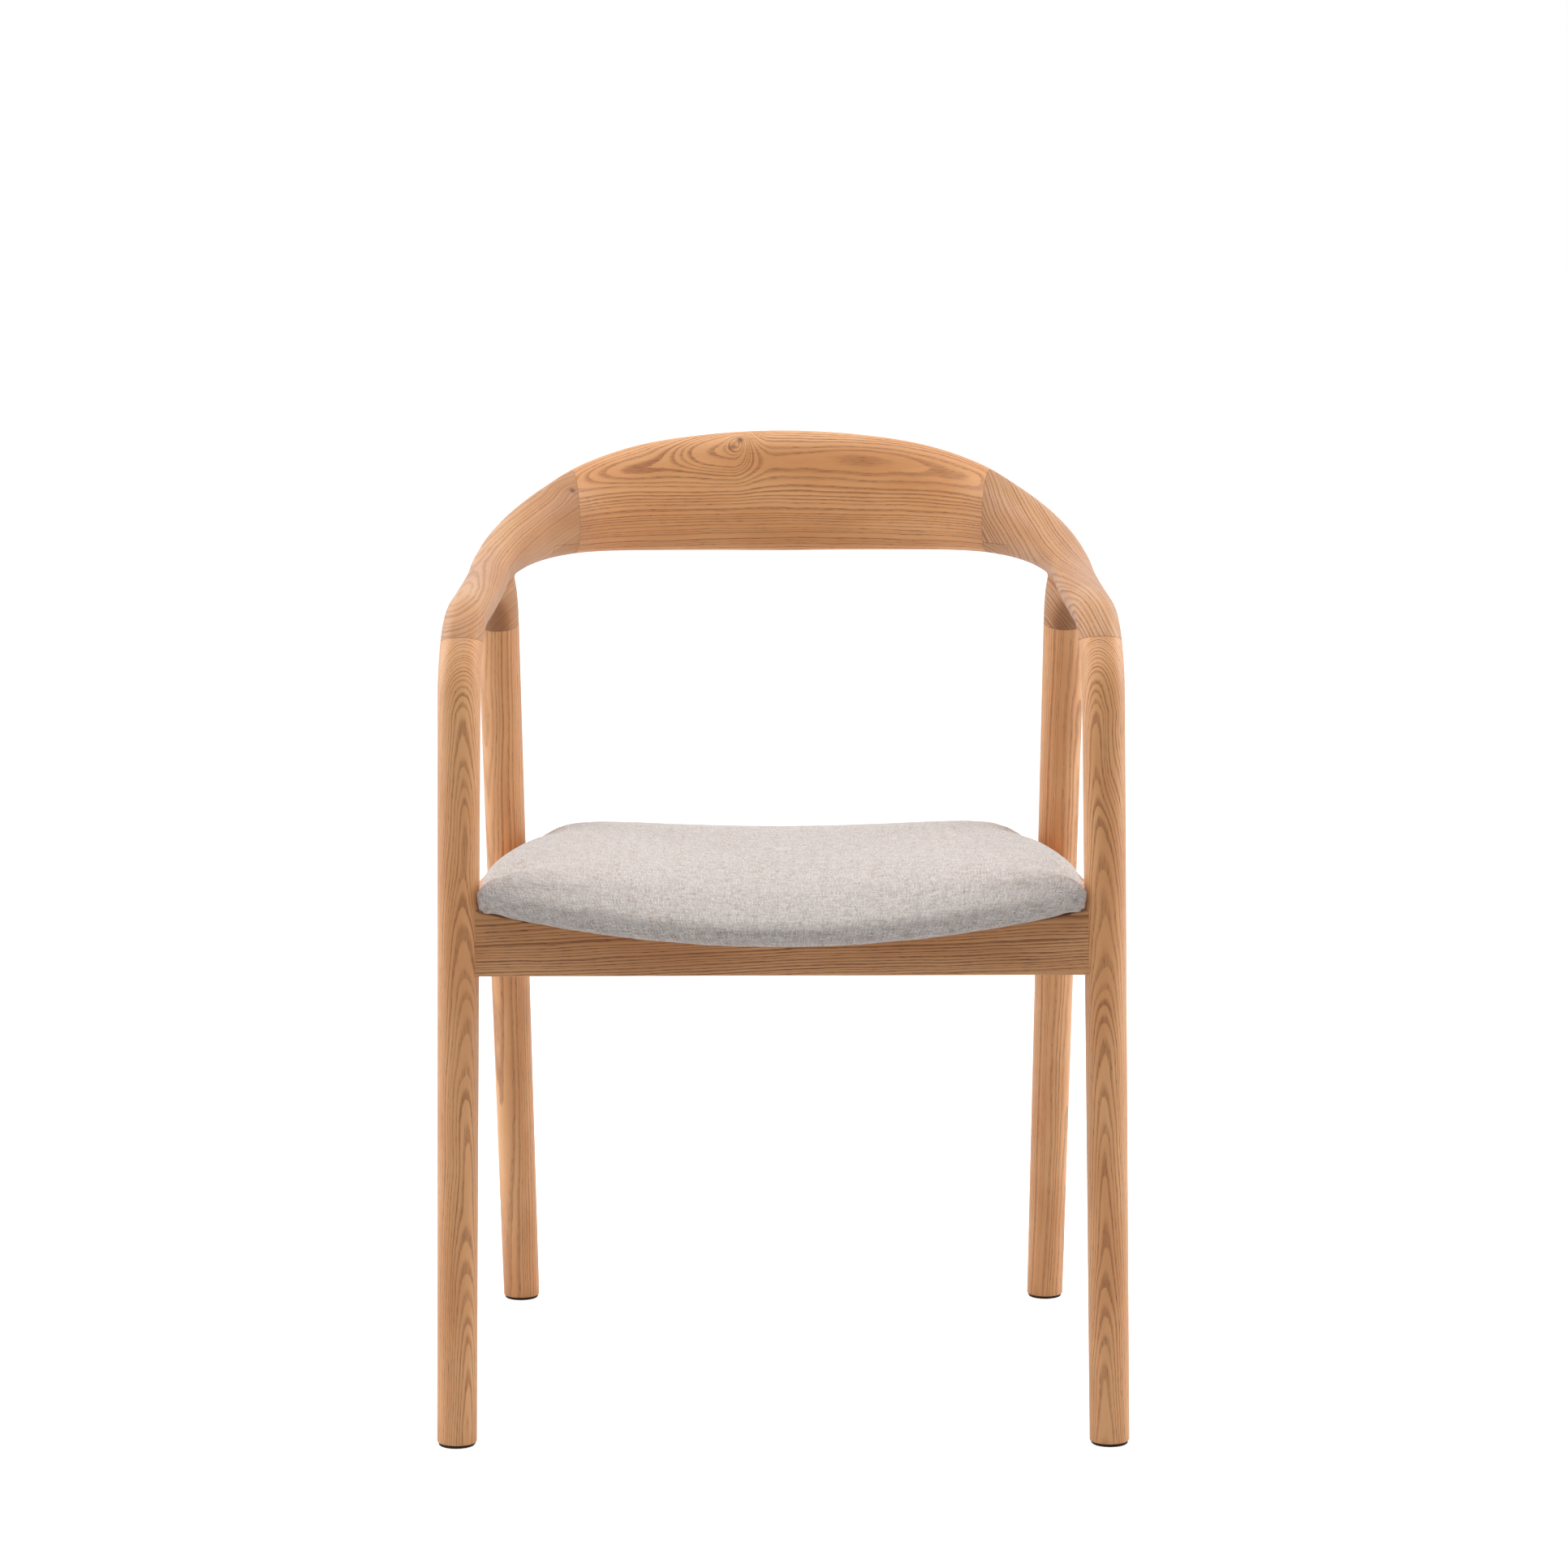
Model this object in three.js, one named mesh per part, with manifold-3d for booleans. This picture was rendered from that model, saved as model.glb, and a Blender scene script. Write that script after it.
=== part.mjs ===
// Ash armchair with a continuous arm-and-back crest and an upholstered saddle seat.
// Millimetres, +Z up, the sitter faces -Y, "left" is -X.
import * as THREE from "three";
import { mergeVertices } from "three/addons/utils/BufferGeometryUtils.js";
import Module from "manifold-3d";

const wasm = await Module();
wasm.setup();

// Clearances
const GAP = 0.3;
const GLUE_LINE = 0.15;
const HUGE_SIZE = 1500;

// Front leg: y = 0 is the axis of the front legs
const FOOT_Z = 2.5;
const FRONT_FOOT_X = 265;
const FRONT_FOOT_RADIUS = 16.3;
const BEND_X = 256.5;
const BEND_START_Z = 597;
const BEND_RADIUS = 73;
const BAR_RADIUS = 17.1;
const ARM_TOE_IN = 0.052;

// Crest from the bend to the middle of the back, right-hand side:
// x, y, z of the centre, half thickness, half height
const CREST = [
  [250.6, 106, 674, 17.1, 17.1],
  [248.4, 160, 678, 17, 17],
  [246.6, 215, 682.5, 17, 17.4],
  [244.5, 262, 689.5, 16.8, 19],
  [236.5, 308, 699.5, 16.5, 21.8],
  [220, 352, 710.3, 16, 26],
  [197, 390, 719.5, 15.4, 31.5],
  [165, 422, 728.3, 14.8, 39.2],
  [118, 447, 735, 14.4, 46.8],
  [60, 463, 738.5, 14.1, 51.3],
  [0, 468, 739.5, 14, 53],
];
const BACK_LEAN = 0.12;
const CREST_SIDES = 20;

// Joints in the crest
const LEG_JOINT = new THREE.Vector3(256, 25, 652);
const LEG_JOINT_TILT = 0.305;
const BACK_JOINT = new THREE.Vector3(184, 412, 725);
const BACK_JOINT_YAW = 0.42;
const TENON = { width: 16, thickness: 8, length: 36 };
const BACK_DOWEL = { radius: 5, length: 40, spacing: 30, yaw: 0.78, inset: 4 };
const FILLER = { length: 50, start: 20, depth: 80, height: 40, top: 699 };

// Rear leg, raked back, doweled to a boss under the arm
const REAR_FOOT = new THREE.Vector3(239, 500, FOOT_Z);
const REAR_FOOT_RADIUS = 16.2;
const REAR_TOP = new THREE.Vector3(242.5, 307, 638);
const REAR_TOP_RADIUS = 17.7;
const REAR_DOWEL = { radius: 7, length: 44 };

// Rails
const RAIL_THICKNESS = 22;
const RAIL_FRONT_Y = -10;
const RAIL_HEIGHT = 59;
const RAIL_TOP_Z = 446;
const REAR_RAIL_MIDDLE_Z = 397;
const REAR_RAIL_HEIGHT = 56;
const SIDE_TENON = { inset: 4, frontTip: 8, rearTip: 15, height: 30 };
const SIDE_RAIL_THICKNESS = 24;
const SIDE_RAIL_INSET = 6;
const SIDE_RAIL_FALL = 0.04;
const SIDE_RAIL_HEIGHT = 50;
const RAIL_TENON = { thickness: 9, height: 34, root: 26, tip: 6 };
const RAIL_SHOULDER = 14;
const RAIL_START_GAP = 1;

// Seat: underside height, saddle rise at the sides, fall to the rear
const SEAT_UNDER_Z = 415;
const SEAT_DISH = 27;
const SEAT_DISH_FADE = 0.028;
const SEAT_HALF_WIDTH = 245;
const SEAT_FALL = 0.012;
const SEAT_CENTRE_Y = 200;
const SEAT_EDGE_Z = 11;
const SEAT_CROWN = 32;
const COVER_THICKNESS = 1.2;
const BOARD_INSET = 11.5;
const BOARD_LOW = 2.2;
const BOARD_HIGH = SEAT_EDGE_Z - 0.7;
const LINER_THICKNESS = 0.7;
const SEAT_SIDES = 40;
const SEAT_REST = 1.2;
const SIDE_RAIL_SEAT_X = 236;
const FRONT_RAIL_MIDDLE = 412.8;
const REAR_RAIL_MIDDLE = 404;
const NUT_HEIGHT = 3.2;
// Right half of the seat outline: x, y, from the front middle to the rear middle
const SEAT_OUTLINE = [
  [0, -38], [70, -37], [140, -33], [200, -27], [234, -21.5], [245.6, -15.5], [239.6, -1],
  [239.6, 19], [244.5, 42], [247, 75], [246.5, 130], [243, 190], [237, 250], [229, 305],
  [221, 345], [217.5, 378], [206, 408], [176, 428], [120, 437], [60, 440],
];

// Corner blocks and fasteners
const BLOCK_LEG = 50;
const BLOCK_BLUNT = 14;
const BLOCK_HEIGHT = 32;
const BLOCK_SEAT_GAP = 5;
const SCREW = { radius: 2, headRadius: 4, headHeight: 3, length: 36 };
const SCREW_SEAT = 24;
const SCREW_REACH = 37;
const SCREW_STAGGER = 7;
const SCREW_POINT = 5;
const DRIVER_ROOM = 30;
const REAR_BLOCK_GAP = 3;
const BOLT = { radius: 2.9, headRadius: 6, headHeight: 4, inset: 24 };
const TEE_NUT = { flangeRadius: 9, flangeHeight: 1.5, barrelRadius: 4, barrelHeight: 5.6, boreRadius: 3.3 };
const GLIDE = { radius: 15, height: 2.2, holeRadius: 1.7, recessRadius: 4, recessDepth: 1.1 };
const BOLT_ROOM = { radius: 1, below: 20, above: 60 };
const POCKET_ROOM = 12;
const NAIL = { radius: 1.2, headRadius: 3.5, headHeight: 0.8, length: 15 };

const up = new THREE.Vector3(0, 0, 1);
const chair = new THREE.Group();

// Materials
const finishes = {
  ash: { color: 0xcf9a67, roughness: 0.5, metalness: 0 },
  plywood: { color: 0xc9a377, roughness: 0.6, metalness: 0 },
  foam: { color: 0xe9e2cf, roughness: 0.9, metalness: 0 },
  fabric: { color: 0xb9aca3, roughness: 0.95, metalness: 0 },
  liner: { color: 0x2b2a2a, roughness: 0.95, metalness: 0 },
  steel: { color: 0xb5b7ba, roughness: 0.35, metalness: 1 },
  glide: { color: 0x33261c, roughness: 0.7, metalness: 0 },
};

function addPart(name, geometry, finish) {
  const mesh = new THREE.Mesh(geometry, new THREE.MeshStandardMaterial(finishes[finish]));
  mesh.name = name;
  chair.add(mesh);
}

// Booleans
function solid(geometry) {
  const bare = geometry.clone();
  bare.deleteAttribute("normal");
  bare.deleteAttribute("uv");
  const merged = mergeVertices(bare, 1e-4);
  const vertProperties = new Float32Array(merged.attributes.position.array);
  const triVerts = new Uint32Array(merged.index.array);
  return new wasm.Manifold(new wasm.Mesh({ numProp: 3, vertProperties, triVerts }));
}

function geometryOf(manifold) {
  const mesh = manifold.getMesh();
  const geometry = new THREE.BufferGeometry();
  geometry.setAttribute("position", new THREE.BufferAttribute(mesh.vertProperties, 3));
  geometry.setIndex(new THREE.BufferAttribute(mesh.triVerts, 1));
  geometry.computeVertexNormals();
  return geometry;
}

function subtractAll(manifold, tools) {
  return tools.reduce((body, tool) => body.subtract(tool), manifold);
}

// A closed body through a row of rings, with a fan over each end
function loft(rings) {
  const count = rings[0].length;
  const points = rings.flat();
  const faces = [];
  for (let i = 0; i < rings.length - 1; i += 1) {
    for (let j = 0; j < count; j += 1) {
      const a = i * count + j;
      const b = i * count + ((j + 1) % count);
      faces.push([a, b, b + count], [a, b + count, a + count]);
    }
  }
  for (const [ring, first, flip] of [[rings[0], 0, false], [rings.at(-1), points.length - count, true]]) {
    const middle = points.length;
    const centre = new THREE.Vector3();
    ring.forEach((point) => centre.addScaledVector(point, 1 / count));
    points.push(centre);
    for (let j = 0; j < count; j += 1) {
      const a = first + j;
      const b = first + ((j + 1) % count);
      faces.push(flip ? [middle, a, b] : [middle, b, a]);
    }
  }
  let volume = 0;
  for (const [a, b, c] of faces) {
    volume += points[a].dot(points[b].clone().cross(points[c]));
  }
  const order = volume > 0 ? faces : faces.map(([a, b, c]) => [a, c, b]);
  const geometry = new THREE.BufferGeometry();
  geometry.setAttribute("position", new THREE.Float32BufferAttribute(points.flatMap((p) => p.toArray()), 3));
  geometry.setIndex(order.flat());
  geometry.computeVertexNormals();
  return geometry;
}

// An ellipse round a centre, along two axes; squareness 2 is a true ellipse
function ring(centre, axisA, axisB, halfA, halfB, sides, squareness = 2) {
  const points = [];
  for (let j = 0; j < sides; j += 1) {
    const angle = (j / sides) * Math.PI * 2;
    const power = 2 / squareness;
    const a = Math.sign(Math.cos(angle)) * Math.abs(Math.cos(angle)) ** power;
    const b = Math.sign(Math.sin(angle)) * Math.abs(Math.sin(angle)) ** power;
    points.push(centre.clone().addScaledVector(axisA, a * halfA).addScaledVector(axisB, b * halfB));
  }
  return points;
}

// A turned body standing at base, along direction; profile is [radius, height] pairs
function turned(profile, base, direction, sides) {
  const outline = profile.map(([radius, height]) => new THREE.Vector2(radius, height));
  const geometry = new THREE.LatheGeometry(outline, sides);
  const turn = new THREE.Quaternion().setFromUnitVectors(new THREE.Vector3(0, 1, 0), direction);
  geometry.applyQuaternion(turn);
  geometry.translate(base.x, base.y, base.z);
  return mergeVertices(stripped(geometry), 1e-4);
}

function stripped(geometry) {
  geometry.deleteAttribute("normal");
  geometry.deleteAttribute("uv");
  return geometry;
}

function rod(radius, from, to, sides = 14) {
  const direction = to.clone().sub(from);
  const length = direction.length();
  const profile = [[0, 0], [radius, 0], [radius, length], [0, length]];
  return turned(profile, from, direction.normalize(), sides);
}

// A box with its own axes
function block(size, centre, rotation = new THREE.Euler()) {
  const geometry = new THREE.BoxGeometry(...size);
  geometry.applyQuaternion(new THREE.Quaternion().setFromEuler(rotation));
  geometry.translate(centre.x, centre.y, centre.z);
  return geometry;
}

function mirrored(geometry) {
  const copy = geometry.clone();
  copy.scale(-1, 1, 1);
  const index = copy.index.array.slice();
  for (let i = 0; i < index.length; i += 3) {
    [index[i + 1], index[i + 2]] = [index[i + 2], index[i + 1]];
  }
  copy.setIndex(new THREE.BufferAttribute(index, 1));
  return copy;
}

function addPair(name, geometry, finish) {
  addPart(`${name}_right`, geometry, finish);
  addPart(`${name}_left`, mirrored(geometry), finish);
}

// The crest's centre line, with the bend as an arc in the toed-in side plane
function crestStations() {
  const stations = [];
  for (const degrees of [0, 20, 40, 60, 78]) {
    const turn = THREE.MathUtils.degToRad(degrees);
    const y = BEND_RADIUS * (1 - Math.cos(turn));
    const z = BEND_START_Z + BEND_RADIUS * Math.sin(turn);
    stations.push([BEND_X - ARM_TOE_IN * y, y, z, BAR_RADIUS, BAR_RADIUS]);
  }
  const right = stations.concat(CREST);
  const left = right.slice(0, -1).reverse().map(([x, ...rest]) => [-x, ...rest]);
  return right.concat(left);
}

function crestRings(extra = 0) {
  const stations = crestStations();
  const path = new THREE.CatmullRomCurve3(stations.map(([x, y, z]) => new THREE.Vector3(x, y, z)));
  const sizes = new THREE.CatmullRomCurve3(stations.map(([, , , a, b]) => new THREE.Vector3(a, b, 0)));
  const steps = (stations.length - 1) * 2;
  const rings = [];
  for (let i = 0; i <= steps; i += 1) {
    const t = i / steps;
    const centre = path.getPoint(t);
    const tangent = path.getTangent(t);
    const size = sizes.getPoint(t);
    const plan = new THREE.Vector3(tangent.x, tangent.y, 0);
    const side = t < 0.5 ? 1 : -1;
    if (centre.y < BEND_RADIUS) {
      plan.set(-ARM_TOE_IN, side, 0);
    }
    const outward = new THREE.Vector3(plan.y, -plan.x, 0).normalize();
    const crown = outward.clone().cross(tangent).normalize();
    const flat = Math.max(0, (size.y / size.x - 1) / 2.7);
    crown.addScaledVector(outward, BACK_LEAN * Math.min(1, flat)).normalize();
    const squareness = 2 + 0.6 * Math.min(1, flat);
    rings.push(ring(centre, outward, crown, size.x + extra, size.y + extra, CREST_SIDES, squareness));
  }
  return rings;
}

function footRing(side, extra = 0) {
  const centre = new THREE.Vector3(side * FRONT_FOOT_X, 0, FOOT_Z);
  const outward = new THREE.Vector3(side, ARM_TOE_IN, 0).normalize();
  const forward = new THREE.Vector3(0, -1, 0);
  const radius = FRONT_FOOT_RADIUS + extra;
  return ring(centre, outward, forward, radius, radius, CREST_SIDES);
}

function crestSolid(extra = 0) {
  const rings = crestRings(extra);
  return solid(loft([footRing(1, extra), ...rings, footRing(-1, extra)]));
}

// Half spaces on either side of a joint plane
function halfSpace(point, normal, clearance) {
  const turn = new THREE.Quaternion().setFromUnitVectors(up, normal);
  const geometry = new THREE.BoxGeometry(HUGE_SIZE, HUGE_SIZE, HUGE_SIZE);
  geometry.translate(0, 0, HUGE_SIZE / 2 + clearance);
  geometry.applyQuaternion(turn);
  geometry.translate(point.x, point.y, point.z);
  return solid(geometry);
}

const legJointNormal = new THREE.Vector3(0, Math.sin(LEG_JOINT_TILT), Math.cos(LEG_JOINT_TILT));
const backJointNormal = new THREE.Vector3(Math.cos(BACK_JOINT_YAW), -Math.sin(BACK_JOINT_YAW), 0);
const rearAxis = REAR_TOP.clone().sub(REAR_FOOT).normalize();

// Boss under the arm: a round stub on the rear leg's line, flaring into the arm
function bossRings() {
  const across = new THREE.Vector3(1, 0, 0);
  const along = rearAxis.clone().cross(across).normalize();
  const steps = [[GLUE_LINE, 0, 0], [10, 0, 1], [20, -0.3, 3], [28, -0.8, 6.5], [34, -1.5, 11], [42, -3, 16]];
  return steps.map(([height, thin, flare]) => {
    const centre = REAR_TOP.clone().addScaledVector(rearAxis, height);
    return ring(centre, across, along, REAR_TOP_RADIUS + thin, REAR_TOP_RADIUS + flare, CREST_SIDES);
  });
}

// Rear leg: a level foot and a top square to its own axis
function rearLegRings(extra = 0) {
  const across = new THREE.Vector3(1, 0, 0);
  const along = rearAxis.clone().cross(across).normalize();
  const stretch = 1 / rearAxis.z;
  const foot = ring(
    REAR_FOOT,
    across,
    new THREE.Vector3(0, along.y, 0).normalize(),
    REAR_FOOT_RADIUS + extra,
    (REAR_FOOT_RADIUS + extra) * stretch,
    CREST_SIDES,
  );
  const topCentre = REAR_TOP.clone().addScaledVector(rearAxis, -GLUE_LINE);
  const top = ring(topCentre, across, along, REAR_TOP_RADIUS + extra, REAR_TOP_RADIUS + extra, CREST_SIDES);
  return [foot, top];
}

function rearLegPoint(z) {
  const part = (z - REAR_FOOT.z) / (REAR_TOP.z - REAR_FOOT.z);
  return REAR_FOOT.clone().lerp(REAR_TOP, part);
}

// Seat surfaces
function seatUnder(x, y) {
  const dish = SEAT_DISH - SEAT_DISH_FADE * y;
  return SEAT_UNDER_Z + dish * (x / SEAT_HALF_WIDTH) ** 2 - SEAT_FALL * y;
}

function seatOutline() {
  const right = SEAT_OUTLINE.map(([x, y]) => new THREE.Vector3(x, y, 0));
  const rearMiddle = new THREE.Vector3(0, SEAT_OUTLINE.at(-1)[1] + 0.5, 0);
  const left = SEAT_OUTLINE.slice(1).reverse().map(([x, y]) => new THREE.Vector3(-x, y, 0));
  const curve = new THREE.CatmullRomCurve3([...right, rearMiddle, ...left], true);
  return curve.getSpacedPoints(SEAT_SIDES).slice(0, -1);
}

// One ring of the seat at a share of the outline, at a height over the underside
function seatRing(share, height, inset = 0) {
  return seatOutline().map((edge) => {
    const arm = new THREE.Vector3(edge.x, edge.y - SEAT_CENTRE_Y, 0);
    const length = arm.length();
    const scaled = arm.multiplyScalar((share * (length - inset)) / length);
    const x = scaled.x;
    const y = scaled.y + SEAT_CENTRE_Y;
    return new THREE.Vector3(x, y, seatUnder(x, y) + height);
  });
}

function crownHeight(share, rise) {
  return rise * Math.sqrt(Math.max(0, 1 - share ** 5));
}

function tuckDepth(share, depth) {
  return depth * Math.sqrt(Math.max(0, 1 - share ** 60));
}

const TOP_SHARES = [0.2, 0.5, 0.72, 0.86, 0.95, 0.988, 1];
const INNER_SHARES = [0.8, 0.6, 0.4, 0.2];
const TUCK_SHARES = [0.997, 0.985, 0.965, 0.93];

function coverGeometry() {
  const outer = TOP_SHARES.map((share) => seatRing(share, SEAT_EDGE_Z + crownHeight(share, SEAT_CROWN)));
  const tuck = TUCK_SHARES.map((share) => seatRing(share, SEAT_EDGE_Z - tuckDepth(share, SEAT_EDGE_Z)));
  const liningTuck = TUCK_SHARES.slice().reverse().map((share) => {
    const height = SEAT_EDGE_Z - tuckDepth(share, SEAT_EDGE_Z - COVER_THICKNESS);
    return seatRing(share, height, COVER_THICKNESS);
  });
  const lining = TOP_SHARES.slice().reverse().map((share) => {
    return seatRing(share, SEAT_EDGE_Z + crownHeight(share, SEAT_CROWN - COVER_THICKNESS), COVER_THICKNESS);
  });
  return loft([...outer, ...tuck, ...liningTuck, ...lining]);
}

function foamGeometry() {
  const inset = COVER_THICKNESS + 2.5 * GAP;
  const rise = SEAT_CROWN - COVER_THICKNESS - 2 * GAP;
  const crown = TOP_SHARES.map((share) => seatRing(share, SEAT_EDGE_Z + crownHeight(share, rise), inset));
  const base = [0.97, ...INNER_SHARES].map((share) => seatRing(share, SEAT_EDGE_Z + 0.1, inset));
  return loft([...crown, ...base]);
}

function boardGeometry() {
  const shares = [1, ...INNER_SHARES];
  const low = shares.map((share) => seatRing(share, BOARD_LOW, BOARD_INSET));
  const high = shares.slice().reverse().map((share) => seatRing(share, BOARD_HIGH, BOARD_INSET));
  return loft([...high, ...low]);
}

function linerGeometry() {
  const shares = [0.95, ...INNER_SHARES];
  const low = shares.map((share) => seatRing(share, -GAP - LINER_THICKNESS));
  const high = shares.slice().reverse().map((share) => seatRing(share, -GAP));
  return loft([...high, ...low]);
}

// Rails: the front and rear rails have a shallow dip in the top edge for the saddle seat
function crossRail({ halfLength, bottom, endTop, middleTop, middleY, tilt }, extra = 0) {
  const dipHalf = halfLength - RAIL_SHOULDER;
  const dish = seatUnder(dipHalf, middleY) - seatUnder(0, middleY);
  const dipTop = Math.min(endTop, middleTop + dish);
  const shape = new THREE.Shape();
  shape.moveTo(-halfLength, bottom);
  shape.lineTo(halfLength, bottom);
  shape.lineTo(halfLength, endTop);
  shape.lineTo(dipHalf, dipTop);
  shape.quadraticCurveTo(0, 2 * middleTop - dipTop, -dipHalf, dipTop);
  shape.lineTo(-halfLength, endTop);
  shape.closePath();
  const depth = RAIL_THICKNESS + 2 * extra;
  const settings = { depth, bevelEnabled: false, curveSegments: 14 };
  const geometry = new THREE.ExtrudeGeometry(shape, settings);
  const middleZ = (bottom + endTop) / 2;
  geometry.translate(0, -middleZ, -depth / 2);
  geometry.rotateX(Math.PI / 2 + tilt);
  geometry.translate(0, middleY, middleZ);
  return solid(geometry);
}

function sideRail() {
  const start = RAIL_FRONT_Y + RAIL_THICKNESS + RAIL_START_GAP;
  const end = rearLegAtRail.y;
  const shape = new THREE.Shape();
  shape.moveTo(start, sideRailTop - SIDE_RAIL_HEIGHT - SIDE_RAIL_FALL * start);
  shape.lineTo(end, sideRailTop - SIDE_RAIL_HEIGHT - SIDE_RAIL_FALL * end);
  shape.lineTo(end, sideRailTop - SIDE_RAIL_FALL * end);
  shape.lineTo(start, sideRailTop - SIDE_RAIL_FALL * start);
  shape.closePath();
  const geometry = new THREE.ExtrudeGeometry(shape, { depth: SIDE_RAIL_THICKNESS, bevelEnabled: false });
  geometry.translate(0, 0, -SIDE_RAIL_THICKNESS / 2 - SIDE_RAIL_INSET);
  geometry.rotateX(Math.PI / 2);
  geometry.rotateZ(Math.PI / 2);
  geometry.rotateZ(sideAngle);
  geometry.translate(frontLegX, 0, 0);
  return solid(geometry);
}

// A point on the inner face of the right side rail
function sideRailInnerX(y) {
  const centre = frontLegX - Math.tan(sideAngle) * y;
  return centre - SIDE_RAIL_INSET - SIDE_RAIL_THICKNESS / 2;
}

const railMiddleZ = RAIL_TOP_Z - RAIL_HEIGHT / 2;
const frontLegX = FRONT_FOOT_X - ((FRONT_FOOT_X - BEND_X) * railMiddleZ) / BEND_START_Z;
const rearLegAtRail = rearLegPoint(REAR_RAIL_MIDDLE_Z);
const rearRake = Math.atan2(REAR_FOOT.y - REAR_TOP.y, REAR_TOP.z - REAR_FOOT.z);
const sideAngle = Math.atan2(frontLegX - rearLegAtRail.x, rearLegAtRail.y);
const sideRailTop = seatUnder(SIDE_RAIL_SEAT_X, 0) - SEAT_REST;

// Corner block of the right side, with its bolt and its two screws
function makeCorner(isRear) {
  const inward = isRear ? -1 : 1;
  const wallY = isRear ? rearLegAtRail.y - REAR_BLOCK_GAP : RAIL_FRONT_Y + RAIL_THICKNESS + GAP;
  const wallX = Math.min(sideRailInnerX(wallY), sideRailInnerX(wallY + inward * BLOCK_LEG)) - GAP;
  const top = seatUnder(wallX - BLOCK_LEG, wallY + (isRear ? 0 : BLOCK_LEG)) - BLOCK_SEAT_GAP;
  const base = top - BLOCK_HEIGHT;
  const place = (x, y, z) => new THREE.Vector3(wallX - x, wallY + inward * y, base + z);
  const outline = new THREE.Shape();
  const plan = [[0, 0], [BLOCK_LEG, 0], [BLOCK_LEG, BLOCK_BLUNT], [BLOCK_BLUNT, BLOCK_LEG], [0, BLOCK_LEG]];
  const flat = plan.map(([x, y]) => place(x, y, 0));
  outline.setFromPoints((isRear ? flat : flat.reverse()).map((point) => new THREE.Vector2(point.x, point.y)));
  const geometry = new THREE.ExtrudeGeometry(outline, { depth: BLOCK_HEIGHT, bevelEnabled: false });
  geometry.translate(0, 0, base);
  const low = BLOCK_HEIGHT / 2 - SCREW_STAGGER;
  const high = BLOCK_HEIGHT / 2 + SCREW_STAGGER;
  const screws = [
    { start: place(SCREW_REACH, SCREW_SEAT, low), toward: new THREE.Vector3(0, -inward, 0) },
    { start: place(SCREW_SEAT, SCREW_REACH, high), toward: new THREE.Vector3(1, 0, 0) },
  ];
  return { body: solid(geometry), screws, bolt: place(BOLT.inset, BOLT.inset, 0) };
}

function screwGeometry({ start, toward }) {
  const { radius, headRadius, headHeight, length } = SCREW;
  const profile = [
    [0, -headHeight],
    [headRadius, -headHeight],
    [headRadius, -headHeight / 2],
    [radius, 0],
    [radius, length - SCREW_POINT],
    [0, length],
  ];
  return turned(profile, start, toward, 10);
}

function screwHole({ start, toward }) {
  const along = (distance) => start.clone().addScaledVector(toward, distance);
  const shank = rod(SCREW.radius + GAP, start, along(SCREW.length + 1), 10);
  const mouth = rod(SCREW.headRadius + GAP, along(-DRIVER_ROOM), along(GAP), 12);
  return solid(shank).add(solid(mouth));
}

function upright(base, profile, sides) {
  return turned(profile, base, up, sides);
}

function above(point, height) {
  return new THREE.Vector3(point.x, point.y, point.z + height);
}

function atHeight(point, z) {
  return new THREE.Vector3(point.x, point.y, z);
}

// Seat fixing at one corner: a bolt up through the block into a tee nut in the board
function boltGeometry(bolt, tip) {
  const { radius, headRadius, headHeight } = BOLT;
  const profile = [
    [0, -headHeight - GAP],
    [headRadius - 1, -headHeight - GAP],
    [headRadius, -headHeight + 1],
    [headRadius, -GAP],
    [radius, -GAP],
    [radius, tip - bolt.z],
    [0, tip - bolt.z],
  ];
  return upright(bolt, profile, 12);
}

function teeNutGeometry(base) {
  const { flangeRadius, flangeHeight, barrelRadius, barrelHeight, boreRadius } = TEE_NUT;
  const profile = [
    [boreRadius, 0],
    [barrelRadius, 0],
    [barrelRadius, barrelHeight - flangeHeight],
    [flangeRadius, barrelHeight - flangeHeight],
    [flangeRadius, barrelHeight],
    [boreRadius, barrelHeight],
    [boreRadius, 0],
  ];
  return upright(base, profile, 12);
}

function teeNutPocket(base) {
  const { flangeRadius, flangeHeight, barrelRadius, barrelHeight } = TEE_NUT;
  const shoulder = barrelHeight - flangeHeight - GAP;
  const barrel = rod(barrelRadius + GAP, above(base, -POCKET_ROOM), above(base, barrelHeight), 12);
  const flange = rod(flangeRadius + GAP, above(base, shoulder), above(base, barrelHeight + POCKET_ROOM), 14);
  return solid(barrel).add(solid(flange));
}

// Glides with their nails
function glideGeometry(foot) {
  const { radius, height, holeRadius, recessRadius, recessDepth } = GLIDE;
  const profile = [
    [holeRadius, recessDepth],
    [recessRadius, recessDepth],
    [recessRadius, 0],
    [radius - 0.8, 0],
    [radius, 0.8],
    [radius, height],
    [holeRadius, height],
    [holeRadius, recessDepth],
  ];
  return upright(atHeight(foot, 0), profile, 20);
}

function nailGeometry(foot) {
  const { radius, headRadius, headHeight, length } = NAIL;
  const top = GLIDE.recessDepth - GAP / 2;
  const profile = [
    [0, top - headHeight],
    [headRadius, top - headHeight],
    [headRadius, top],
    [radius, top],
    [radius, length - 3],
    [0, length],
  ];
  return upright(atHeight(foot, 0), profile, 10);
}

function nailHole(foot) {
  return solid(rod(NAIL.radius + GAP, atHeight(foot, 0), atHeight(foot, NAIL.length + 1), 10));
}

// Loose tenon and dowels
const legTenonTurn = new THREE.Euler(-LEG_JOINT_TILT, 0, 0);

function legTenon(extra) {
  const { width, thickness, length } = TENON;
  const size = [width + 2 * extra, thickness + 2 * extra, length + 2 * extra];
  return block(size, LEG_JOINT, legTenonTurn);
}

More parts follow.
